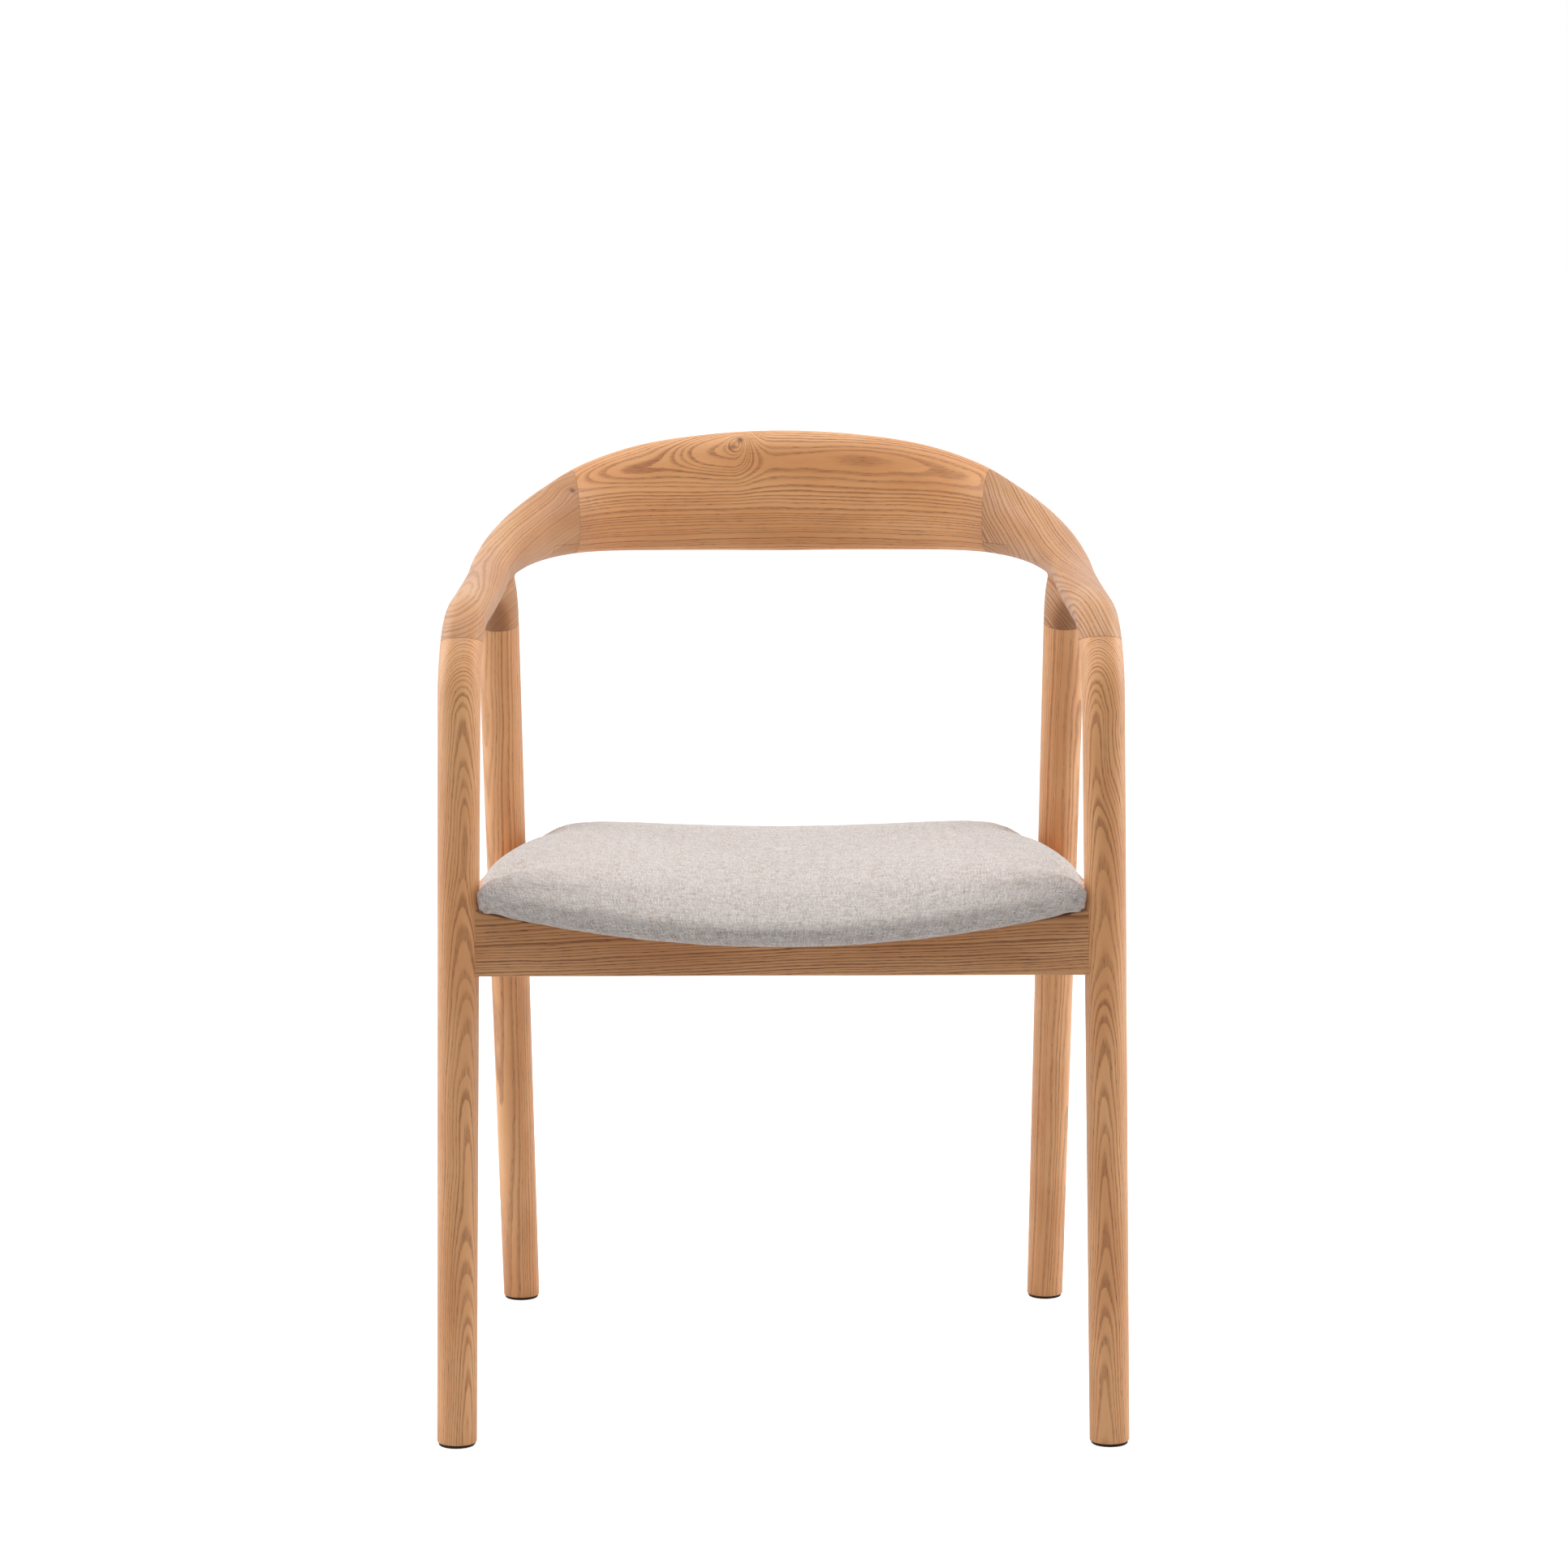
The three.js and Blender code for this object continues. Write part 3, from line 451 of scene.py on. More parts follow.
def arm():
    """The arm with its boss, in one flowing shape, cut at its three joints."""
    bar = loft("bar", crest_rings(LEG_SECTION - 1, BACK_SECTION + 3, ARM_SWELL))
    rings = []
    for height, thin, flare in BOSS_STEPS:
        centre = REAR_TOP + REAR_AXIS * height
        rings.append(ring(centre, ACROSS, REAR_ALONG, REAR_TOP_RADIUS + thin, REAR_TOP_RADIUS + flare))
    made = joined("arm", bar, loft("boss", rings))
    remesh(made, ARM_VOXEL, ARM_SMOOTHING)
    cut(made, LEG_JOINT, -LEG_NORMAL, GLUE_LINE)
    cut(made, BACK_JOINT, -BACK_NORMAL, GLUE_LINE)
    cut(made, REAR_TOP, -REAR_AXIS, GLUE_LINE)
    return made


def filler_zone(extra):
    centre = BACK_JOINT + BACK_NORMAL * (FILLER_LENGTH / 2 - FILLER_START)
    size = np.array([FILLER_LENGTH + 2 * extra, FILLER_DEPTH, FILLER_HEIGHT + 2 * extra])
    middle = [centre[0], centre[1], FILLER_TOP - FILLER_HEIGHT / 2]
    return box_object("zone", size, middle, -BACK_JOINT_YAW)


def backrest():
    made = loft("backrest", crest_rings(BACK_SECTION, SECTIONS - BACK_SECTION))
    cut(made, BACK_JOINT, BACK_NORMAL, GLUE_LINE)
    cut(made, BACK_JOINT * [-1, 1, 1], BACK_NORMAL * [-1, 1, 1], GLUE_LINE)
    return made


def seat_under(x, y):
    dish = SEAT_DISH - SEAT_DISH_FADE * y
    return SEAT_UNDER_Z + dish * (x / SEAT_HALF_WIDTH) ** 2 - SEAT_FALL * y


def rail_section(bottom, top, thickness):
    """A board's section as (across, height) pairs, with rounded edges."""
    half = thickness / 2
    points = []
    corners = ((half, top, 0), (-half, top, 90), (-half, bottom, 180), (half, bottom, 270))
    for corner_a, corner_z, first in corners:
        centre_a = corner_a - math.copysign(RAIL_EDGE, corner_a)
        centre_z = corner_z - RAIL_EDGE if first < 180 else corner_z + RAIL_EDGE
        for degrees in np.linspace(first, first + 90, RAIL_EDGE_STEPS):
            turn = math.radians(degrees)
            points.append([centre_a + RAIL_EDGE * math.cos(turn), centre_z + RAIL_EDGE * math.sin(turn)])
    return np.array(points)


def cross_rail(name, half_length, bottom, end_top, dip_top, middle_y, tilt):
    """A rail from side to side, with a dipped top edge; tilt leans it with the rear legs."""
    dip_half = half_length - RAIL_SHOULDER
    side_top = min(end_top, dip_top + seat_under(dip_half, middle_y) - seat_under(0, middle_y))
    middle_z = (bottom + end_top) / 2
    rings = []
    for x in np.linspace(-half_length, half_length, RAIL_RINGS):
        share = min(1, abs(x) / dip_half)
        top = dip_top + (side_top - dip_top) * share ** 2
        if abs(x) > dip_half:
            top = side_top + (end_top - side_top) * (abs(x) - dip_half) / (half_length - dip_half)
        section = rail_section(bottom - middle_z, top - middle_z, RAIL_THICKNESS)
        y = middle_y + section[:, 0] * math.cos(tilt) - section[:, 1] * math.sin(tilt)
        z = middle_z + section[:, 0] * math.sin(tilt) + section[:, 1] * math.cos(tilt)
        rings.append(np.column_stack([np.full(len(y), x), y, z]))
    return loft(name, rings)


RAIL_LEG_X = FRONT_FOOT_X - (FRONT_FOOT_X - BEND_X) * RAIL_LEG_Z / BEND_START_Z
REAR_RAIL_SHARE = (REAR_RAIL_MIDDLE_Z - FOOT_Z) / (REAR_TOP[2] - FOOT_Z)
REAR_AT_RAIL = REAR_FOOT + (REAR_TOP - REAR_FOOT) * REAR_RAIL_SHARE
REAR_RAKE = math.atan2(REAR_FOOT[1] - REAR_TOP[1], REAR_TOP[2] - REAR_FOOT[2])
SIDE_ANGLE = math.atan2(RAIL_LEG_X - REAR_AT_RAIL[0], REAR_AT_RAIL[1])
SIDE_RAIL_TOP = seat_under(SIDE_RAIL_SEAT_X, 0) - SIDE_RAIL_GAP


def side_rail():
    start = RAIL_FRONT_Y + RAIL_THICKNESS + SIDE_RAIL_START_GAP
    along = np.array([-math.tan(SIDE_ANGLE), 1, 0])
    across = unit([1, math.tan(SIDE_ANGLE), 0])
    rings = []
    for y in np.linspace(start, REAR_AT_RAIL[1], SIDE_RAIL_RINGS):
        top = SIDE_RAIL_TOP - SIDE_RAIL_FALL * y
        section = rail_section(top - SIDE_RAIL_HEIGHT, top, SIDE_RAIL_THICKNESS)
        centre = np.array([RAIL_LEG_X, 0, 0]) + along * y - across * SIDE_RAIL_INSET
        rings.append(centre + np.outer(section[:, 0], across) + np.outer(section[:, 1], [0, 0, 1]))
    return loft("side_rail", rings)


# ---------------------------------------------------------------- seat cushion

def seat_outline(count):
    right = [[x, y, 0] for x, y in SEAT_OUTLINE]
    left = [[-x, y, 0] for x, y in reversed(SEAT_OUTLINE[1:])]
    rear = [[0, SEAT_OUTLINE[-1][1] + 0.5, 0]]
    loop = right + rear + left
    return np.array([catmull_rom(loop, k / count, closed=True)[:2] for k in range(count)])


SEAT_EDGE = seat_outline(SEAT_EDGE_POINTS)


def seat_reach(angles):
    """The seat outline's distance from its centre, at these angles."""
    arms = SEAT_EDGE - [0, SEAT_CENTRE_Y]
    edge_angles = np.arctan2(arms[:, 1], arms[:, 0])
    order = np.argsort(edge_angles)
    return np.interp(angles, edge_angles[order], np.linalg.norm(arms, axis=1)[order], period=2 * math.pi)


def seat_ring(share, height, inset):
    """One ring of the cushion; the crown falls away more gently towards the front."""
    arms = SEAT_EDGE - [0, SEAT_CENTRE_Y]
    reach = np.linalg.norm(arms, axis=1, keepdims=True)
    plan = arms * share * (reach - inset) / reach + [0, SEAT_CENTRE_Y]
    if height > SEAT_EDGE_Z:
        front = np.maximum(0, -arms[:, 1] / reach[:, 0]) ** SEAT_FRONT_FADE
        fullness = SEAT_FULLNESS + (SEAT_FRONT_FULLNESS - SEAT_FULLNESS) * front
        height = SEAT_EDGE_Z + crown_height(share, fullness)
    return np.column_stack([plan, seat_under(plan[:, 0], plan[:, 1]) + height])


def crown_height(share, fullness=SEAT_FULLNESS):
    return SEAT_CROWN * np.sqrt(np.maximum(0, 1 - share ** fullness))


def seat_profile():
    """The cushion's profile, from the middle of the top to the underside: share of the outline and height."""
    top = np.concatenate([np.linspace(0.02, 0.8, 14), 1 - 0.2 * (1 - np.linspace(0.1, 1, 14)) ** 2])
    upper = [[share, SEAT_EDGE_Z + crown_height(share)] for share in top]
    lower = []
    for degrees in (30, 60, 80, 90):
        turn = math.radians(degrees)
        drop = (SEAT_EDGE_Z - SEAT_LOW) * math.sin(turn)
        lower.append([1 - 0.02 * (1 - math.cos(turn)), SEAT_EDGE_Z - drop])
    hem = [[share, SEAT_LOW] for share in (0.97, 0.95, 0.92, 0.89, 0.865)]
    hollow = [[share, SEAT_HOLLOW_Z] for share in (0.84, 0.8, 0.5, 0.2, 0.02)]
    return np.array(upper + lower + hem + hollow)


def cloth_coordinates(piece):
    """Each point's place on the cloth before it was pulled over the seat, in millimetres."""
    mesh = piece.data
    points = np.zeros(len(mesh.vertices) * 3)
    mesh.vertices.foreach_get("co", points)
    points = points.reshape(-1, 3) / MM
    points[:, 1] -= FRONT_AXIS_Y + SEAT_CENTRE_Y
    angles = np.arctan2(points[:, 1], points[:, 0])
    reach = seat_reach(angles)
    typical = reach.mean()
    height = points[:, 2] - seat_under(points[:, 0], points[:, 1] + SEAT_CENTRE_Y)
    flat = np.column_stack([np.hypot(points[:, 0], points[:, 1]) / reach * typical, height])
    line = seat_profile() * [typical, 1]
    lengths = np.concatenate([[0], np.cumsum(np.linalg.norm(np.diff(line, axis=0), axis=1))])
    best = np.full(len(flat), 1e9)
    run = np.zeros(len(flat))
    for k in range(len(line) - 1):
        step = line[k + 1] - line[k]
        part = np.clip(((flat - line[k]) @ step) / (step @ step), 0, 1)
        gap = np.linalg.norm(flat - line[k] - np.outer(part, step), axis=1)
        nearer = gap < best
        best[nearer] = gap[nearer]
        run[nearer] = (lengths[k] + part * np.linalg.norm(step))[nearer]
    run = run * reach / typical
    values = np.column_stack([run * np.cos(angles), run * np.sin(angles), height])
    attribute = mesh.attributes.new("cloth", "FLOAT_VECTOR", "POINT")
    attribute.data.foreach_set("vector", values.astype(np.float32).ravel())


def points_of(piece):
    flat = np.zeros(len(piece.data.vertices) * 3)
    piece.data.vertices.foreach_get("co", flat)
    return flat.reshape(-1, 3)


def set_points(piece, points):
    piece.data.vertices.foreach_set("co", points.astype(np.float32).ravel())
    piece.data.update()


def inflate(piece, held, frames, pressure, limit):
    """Blows the cover up against its own cloth, holding some points and limiting how far the rest go."""
    start = points_of(piece)
    group = piece.vertex_groups.new(name="held")
    group.add([int(i) for i in np.nonzero(held)[0]], 1.0, "REPLACE")
    cloth = piece.modifiers.new("cloth", "CLOTH")
    settings = cloth.settings
    settings.quality = 5
    settings.mass = 0.3
    settings.use_pressure = True
    settings.uniform_pressure_force = pressure
    settings.effector_weights.gravity = 0
    settings.tension_stiffness = 20
    settings.compression_stiffness = 8
    settings.bending_stiffness = 1.5
    settings.vertex_group_mass = "held"
    cloth.point_cache.frame_start = 1
    cloth.point_cache.frame_end = frames
    for number in range(1, frames + 1):
        scene.frame_set(number)
    apply_modifiers(piece)
    scene.frame_set(1)
    moved = points_of(piece) - start
    length = np.linalg.norm(moved, axis=1, keepdims=True)
    capped = moved * np.minimum(1, limit * MM / np.maximum(length, 1e-9))
    set_points(piece, start + capped)
    piece.vertex_groups.clear()


def cushion():
    profile = seat_profile()
    made = loft("seat_cushion", [seat_ring(share, height, SEAT_INSET) for share, height in profile])
    remesh(made, SEAT_VOXEL, smoothing=1)
    points = points_of(made) / MM
    height = points[:, 2] - seat_under(points[:, 0], points[:, 1] - FRONT_AXIS_Y)
    inflate(made, height < SEAT_HELD_Z, SEAT_FRAMES, SEAT_PRESSURE, SEAT_SWELL)
    fine = made.modifiers.new("fine", "SUBSURF")
    fine.levels = 1
    fine.render_levels = 1
    apply_modifiers(made)
    crease(made)
    return made


def crease(piece):
    """Small folds where the cloth is gathered under the front corners."""
    points = points_of(piece)
    flat = np.zeros(len(points) * 3)
    piece.data.vertices.foreach_get("normal", flat)
    normals = flat.reshape(-1, 3)
    place = points / MM - [0, FRONT_AXIS_Y, 0]
    height = place[:, 2] - seat_under(place[:, 0], place[:, 1])
    across = np.abs(place[:, 0]) - FOLD_TIP[0]
    away = np.hypot(np.hypot(across, place[:, 1] - FOLD_TIP[1]), height)
    turn = np.arctan2(height + FOLD_REACH / 4, -across + FOLD_REACH / 4)
    fold = np.cos(FOLD_COUNT * turn) * np.exp(-(away / FOLD_REACH) ** 2)
    set_points(piece, points + normals * (fold * FOLD_DEPTH * MM)[:, None])


# ---------------------------------------------------------------- materials

class Shader:
    """One material's node tree, built with short calls that return output sockets."""

    def __init__(self, name):
        self.material = bpy.data.materials.new(name)
        self.material.use_nodes = True
        self.tree = self.material.node_tree
        self.surface = self.tree.nodes["Principled BSDF"]

    def node(self, kind, inputs=(), **settings):
        made = self.tree.nodes.new(kind)
        for key, value in settings.items():
            setattr(made, key, value)
        for key, value in dict(inputs).items():
            socket = made.inputs[key]
            if isinstance(value, bpy.types.NodeSocket):
                self.tree.links.new(value, socket)
            else:
                socket.default_value = value
        return made

    def math(self, operation, a, b=0.0, c=0.0, clamp=False):
        made = self.node("ShaderNodeMath", {0: a, 1: b, 2: c}, operation=operation, use_clamp=clamp)
        return made.outputs[0]

    def add(self, a, b):
        return self.math("ADD", a, b)

    def times(self, a, b):
        return self.math("MULTIPLY", a, b)

    def dot(self, vector, constant):
        inputs = {0: vector, 1: tuple(constant)}
        return self.node("ShaderNodeVectorMath", inputs, operation="DOT_PRODUCT").outputs["Value"]

    def vector(self, x=0.0, y=0.0, z=0.0):
        return self.node("ShaderNodeCombineXYZ", {0: x, 1: y, 2: z}).outputs[0]

    def scaled(self, vector, scale, shift=(0, 0, 0)):
        made = self.node("ShaderNodeVectorMath", {0: vector, 1: tuple(scale), 2: tuple(shift)},
                         operation="MULTIPLY_ADD")
        return made.outputs[0]

    def noise(self, vector, scale=1.0, detail=2.0, roughness=0.5):
        made = self.node("ShaderNodeTexNoise", {"Vector": vector, "Scale": scale, "Detail": detail,
                                                "Roughness": roughness})
        return made.outputs["Fac"]

    def noise_vector(self, vector, scale=1.0, detail=1.0):
        made = self.node("ShaderNodeTexNoise", {"Vector": vector, "Scale": scale, "Detail": detail})
        return made.outputs["Color"]

    def random(self, value):
        return self.node("ShaderNodeTexWhiteNoise", {"W": value}, noise_dimensions="1D").outputs["Value"]

    def spread(self, value, low, high, to_low=0.0, to_high=1.0):
        made = self.node("ShaderNodeMapRange", {"Value": value, "From Min": low, "From Max": high,
                                                "To Min": to_low, "To Max": to_high},
                         interpolation_type="SMOOTHSTEP")
        return made.outputs["Result"]

    def ramp(self, value, stops):
        made = self.node("ShaderNodeValToRGB", {"Fac": value})
        elements = made.color_ramp.elements
        while len(elements) < len(stops):
            elements.new(0.5)
        for element, (place, colour) in zip(elements, stops):
            element.position = place
            element.color = colour
        return made.outputs["Color"]

    def hill(self, along, across, shape):
        """A smooth hill, 1 at its top: its place, its reach back and forth along, its reach across."""
        at_along, at_across, reach_back, reach_forth, reach_across = shape[:5]
        gap = self.add(along, -at_along)
        gap = self.math("MAXIMUM", self.times(gap, 1 / reach_forth), self.times(gap, -1 / reach_back))
        rise = self.times(self.add(across, -at_across), 1 / reach_across)
        squared = self.add(self.times(gap, gap), self.times(rise, rise))
        return self.math("EXPONENT", self.times(squared, -1.0))

    def mix(self, share, a, b):
        inputs = {"Factor": share, 6: a, 7: b}
        return self.node("ShaderNodeMix", inputs, data_type="RGBA").outputs[2]

    def bump(self, height, distance, strength=1.0):
        inputs = {"Height": height, "Distance": distance, "Strength": strength}
        made = self.node("ShaderNodeBump", inputs)
        self.tree.links.new(made.outputs["Normal"], self.surface.inputs["Normal"])

    def finish(self, colour, roughness):
        self.tree.links.new(colour, self.surface.inputs["Base Color"])
        self.tree.links.new(roughness, self.surface.inputs["Roughness"])
        return self.material


def srgb(red, green, blue):
    """A colour given on the usual 0 to 255 scale, as linear light."""
    def linear(value):
        value /= 255
        return value / 12.92 if value <= 0.04045 else ((value + 0.055) / 1.055) ** 2.4
    return (linear(red), linear(green), linear(blue), 1.0)


LATEWOOD = srgb(215, 161, 111)
LATEWOOD_WARM = srgb(200, 141, 90)
EARLYWOOD = srgb(152, 92, 50)
# The pore colour also paints shade on the arms' ends by the backrest.
PORE_AND_SHADE = srgb(104, 58, 30)
END_GRAIN = srgb(128, 78, 46)


def ash(name, origin, axis, side, pith, lean=(0.0, 0.0), ring=2.6, seed=0.0, tone=1.32, contrast=1.0,
        wander=7.0, bumps=(), knots_and_painted_shade=(), attribute=None):
    """Ash for one blank.

    origin is a point of the blank and axis its grain direction, in the part's millimetres; side is a
    direction across the grain. pith is where the tree's centre lies across the blank, lean how it drifts
    along the blank, ring the width of a year. bumps shift the rings round knotty grain and
    figure: along, across, the reach back and forth along, the reach across and the shift.
    knots_and_painted_shade darken towards the pore colour the same way: real knots, and painted
    shade at an arm's end by the backrest.
    """
    s = Shader(name)
    axis = unit(axis)
    side = unit(np.array(side) - axis * (np.array(side) @ axis))
    third = np.cross(axis, side)
    if attribute:
        place = s.node("ShaderNodeAttribute", attribute_name=attribute).outputs["Vector"]
        along, u, w = (s.dot(place, direction) for direction in np.eye(3))
    else:
        place = s.node("ShaderNodeTexCoord").outputs["Object"]
        start = to_row([origin])[0]
        along, u, w = (s.add(s.dot(place, direction / MM), float(-start @ direction / MM))
                       for direction in (axis, side, third))
    blank = s.vector(along, u, w)
    shift = (seed * 3.1, seed * 5.7, seed * 8.3)
    slow = s.noise_vector(s.scaled(blank, (0.0045, 0.018, 0.018), shift), detail=1.5)
    slow = s.scaled(slow, (wander, wander, wander), (-wander / 2,) * 3)
    wavy = s.noise_vector(s.scaled(blank, (0.02, 0.05, 0.05), shift), detail=1.0)
    wavy = s.scaled(wavy, (2.2, 2.2, 2.2), (-1.1,) * 3)
    du = s.add(s.add(u, -pith[0]), s.times(along, -lean[0]))
    dw = s.add(s.add(w, -pith[1]), s.times(along, -lean[1]))
    du = s.add(du, s.add(s.dot(slow, (1, 0, 0)), s.dot(wavy, (1, 0, 0))))
    dw = s.add(dw, s.add(s.dot(slow, (0, 1, 0)), s.dot(wavy, (0, 1, 0))))
    radius = s.math("SQRT", s.add(s.times(du, du), s.times(dw, dw)))
    for bump in bumps:
        radius = s.add(radius, s.times(s.hill(along, w, bump), bump[-1]))
    uneven = s.noise(s.vector(s.times(radius, 0.11), seed, 0.0), detail=1.0)
    phase = s.add(s.times(radius, 1 / ring), s.times(uneven, 4.0))
    year = s.math("FLOOR", phase)
    season = s.math("FRACT", phase)
    depth = s.add(s.times(s.random(s.add(year, seed)), 0.65), 0.35)

    fuzz = s.times(s.add(s.noise(s.scaled(blank, (0.05, 1.1, 1.1), shift), detail=3.0), -0.5), 0.22)
    season_soft = s.add(season, fuzz)
    early = s.times(s.spread(season_soft, -0.02, 0.06), s.spread(season_soft, 0.2, 0.62, 1.0, 0.0))
    early = s.times(early, depth)
    pores = s.noise(s.scaled(blank, (0.1, 1.9, 1.9), shift), detail=3.0, roughness=0.65)
    pores = s.times(s.spread(pores, 0.5, 0.64), s.spread(early, 0.05, 0.5, 0.12, 1.0))
    fibres = s.noise(s.scaled(blank, (0.035, 1.6, 1.6), shift), detail=4.0, roughness=0.65)
    patches = s.noise(s.scaled(blank, (0.008, 0.03, 0.03), shift), detail=2.0)

    ground = s.mix(s.spread(patches, 0.3, 0.7), LATEWOOD, LATEWOOD_WARM)
    colour = s.mix(s.times(early, 0.85 * contrast), ground, EARLYWOOD)
    colour = s.mix(s.times(pores, 0.6 * contrast), colour, PORE_AND_SHADE)
    # Real knots darken towards the pore colour, and so does painted shade on an arm's end by the backrest.
    for dark_spot in knots_and_painted_shade:
        colour = s.mix(s.times(s.hill(along, w, dark_spot), dark_spot[-1]), colour, PORE_AND_SHADE)
    normal = s.node("ShaderNodeNewGeometry").outputs["Normal"]
    facing = s.math("ABSOLUTE", s.dot(normal, axis))
    colour = s.mix(s.times(s.spread(facing, 0.5, 0.9), 0.5), colour, END_GRAIN)
    light = s.add(s.times(fibres, 0.34), tone - 0.17)
    colour = s.node("ShaderNodeHueSaturation", {"Color": colour, "Value": light}).outputs[0]
    s.surface.inputs["Specular IOR Level"].default_value = 0.55
    s.surface.inputs["Sheen Weight"].default_value = 0.2
    s.surface.inputs["Sheen Roughness"].default_value = 0.45
    height = s.add(s.times(pores, -1.0), s.times(fibres, 0.35))
    s.bump(height, distance=0.12 * MM, strength=0.6)
    return s.finish(colour, s.add(s.times(pores, 0.2), s.add(s.times(fibres, 0.15), 0.38)))


YARN = 1.25
YARN_LIGHT = srgb(228, 221, 217)
YARN_GREY = srgb(186, 176, 171)
YARN_TAN = srgb(172, 146, 124)
YARN_BLUE = srgb(152, 149, 160)


def melange():
    """Plain-weave wool: two sets of mottled yarns, each passing over and under the other."""
    s = Shader("fabric_melange")
    place = s.node("ShaderNodeAttribute", attribute_name="cloth").outputs["Vector"]
    stray = s.scaled(s.noise_vector(s.scaled(place, (0.03,) * 3), detail=1.0), (2.0,) * 3, (-1.0,) * 3)
    place = s.node("ShaderNodeVectorMath", {0: place, 1: stray}, operation="ADD").outputs[0]
    u = s.times(s.dot(place, (1, 0, 0)), 1 / YARN)
    v = s.times(s.dot(place, (0, 1, 0)), 1 / YARN)
    column = s.math("FLOOR", u)
    row = s.math("FLOOR", v)
    over = s.math("PINGPONG", s.add(column, row), 1.0)
    round_u = s.math("SINE", s.times(s.math("FRACT", u), math.pi))
    round_v = s.math("SINE", s.times(s.math("FRACT", v), math.pi))

    def yarn(number, run, seed):
        length = s.vector(s.times(run, 0.13), s.times(number, 3.7), seed)
        thick = s.noise(length, detail=3.0, roughness=0.7)
        tint = s.noise(s.vector(s.times(run, 0.09), s.times(number, 5.1), seed + 9), detail=2.0)
        tan = s.mix(s.spread(tint, 0.52, 0.72), YARN_LIGHT, YARN_TAN)
        blue = s.mix(s.spread(tint, 0.28, 0.42, 1.0, 0.0), tan, YARN_BLUE)
        return s.mix(s.times(s.spread(thick, 0.38, 0.62), 0.8), blue, YARN_GREY)

    warp = yarn(column, v, 2.0)
    weft = yarn(row, u, 31.0)
    colour = s.mix(over, weft, warp)
    raised = s.add(s.times(over, round_u), s.times(s.math("SUBTRACT", 1.0, over), round_v))
    fuzz = s.noise(s.scaled(place, (2.5,) * 3), detail=3.0, roughness=0.7)
    # Painted shade: each yarn is coloured darker at its sides and lighter along its crown; the fuzz adds
    # random tone.
    weave_painted_shade_and_fuzz = s.add(s.times(raised, 0.3), s.add(s.times(fuzz, 0.3), 0.6))
    colour = s.node("ShaderNodeHueSaturation", {"Color": colour, "Value": weave_painted_shade_and_fuzz}).outputs[0]
    s.surface.inputs["Sheen Weight"].default_value = 0.25
    s.surface.inputs["Sheen Roughness"].default_value = 0.5
    s.surface.inputs["Specular IOR Level"].default_value = 0.2
    s.bump(s.add(raised, s.times(fuzz, 0.3)), distance=0.22 * MM, strength=0.7)
    return s.finish(colour, s.spread(raised, 0.0, 1.0, 0.98, 0.85))


def steel():
    s = Shader("zinc_plated_steel")
    place = s.node("ShaderNodeTexCoord").outputs["Object"]
    grime = s.noise(place, scale=900.0, detail=3.0)
    colour = s.ramp(grime, [(0.3, srgb(150, 152, 156)), (0.7, srgb(206, 206, 202))])
    s.surface.inputs["Metallic"].default_value = 1.0
    s.bump(grime, distance=0.05 * MM, strength=0.4)
    return s.finish(colour, s.spread(grime, 0.2, 0.8, 0.28, 0.5))


def felt_glide():
    s = Shader("glide_felt")
    place = s.node("ShaderNodeTexCoord").outputs["Object"]
    fibres = s.noise(place, scale=2600.0, detail=4.0, roughness=0.7)
    colour = s.ramp(fibres, [(0.3, srgb(36, 26, 19)), (0.7, srgb(78, 58, 43))])
    s.bump(fibres, distance=0.3 * MM, strength=0.8)
    return s.finish(colour, s.spread(fibres, 0.2, 0.8, 0.8, 0.98))


def plywood():
    s = Shader("birch_plywood")
    place = s.node("ShaderNodeTexCoord").outputs["Object"]
    grain = s.noise(s.scaled(place, (30, 900, 900)), detail=4.0, roughness=0.6)
    plies = s.math("PINGPONG", s.times(s.dot(place, (0, 0, 1)), 1 / (1.4 * MM)), 1.0)
    face = s.ramp(grain, [(0.3, srgb(186, 148, 104)), (0.7, srgb(214, 180, 136))])
    colour = s.mix(s.times(s.spread(plies, 0.4, 0.6), 0.3), face, srgb(140, 98, 62))
    s.bump(grain, distance=0.1 * MM, strength=0.5)
    return s.finish(colour, s.spread(grain, 0.2, 0.8, 0.55, 0.75))


def nonwoven():
    s = Shader("dust_cover_nonwoven")
    place = s.node("ShaderNodeTexCoord").outputs["Object"]
    dots = s.node("ShaderNodeTexVoronoi", {"Vector": place, "Scale": 700.0}).outputs["Distance"]
    fibres = s.noise(place, scale=2200.0, detail=5.0, roughness=0.7)
    colour = s.ramp(fibres, [(0.3, srgb(20, 20, 21)), (0.75, srgb(66, 65, 66))])
    s.bump(s.add(dots, fibres), distance=0.2 * MM, strength=0.6)
    return s.finish(colour, s.spread(fibres, 0.2, 0.8, 0.8, 0.97))


def assign(piece, material):
    piece.data.materials.clear()
    piece.data.materials.append(material)


# ---------------------------------------------------------------- assembly

UP = np.array([0.0, 0, 1])
RIGHT = np.array([1.0, 0, 0])
BACK = np.array([0.0, 1, 0])
MIRROR = np.array([-1.0, 1, 1])
GRAIN_STEPS = 20


def place_piece(piece, name, material, *replaced):
    piece.name = name
    piece.data.name = name
    assign(piece, material)
    shade(piece)
    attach(piece, "root")
    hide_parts(*replaced)


def place_pair(right, name, materials):
    left = mirrored(right, f"ash_{name}_left")
    for piece, side in ((right, "right"), (left, "left")):
        place_piece(piece, f"ash_{name}_{side}", materials[side], f"{name}_{side}")


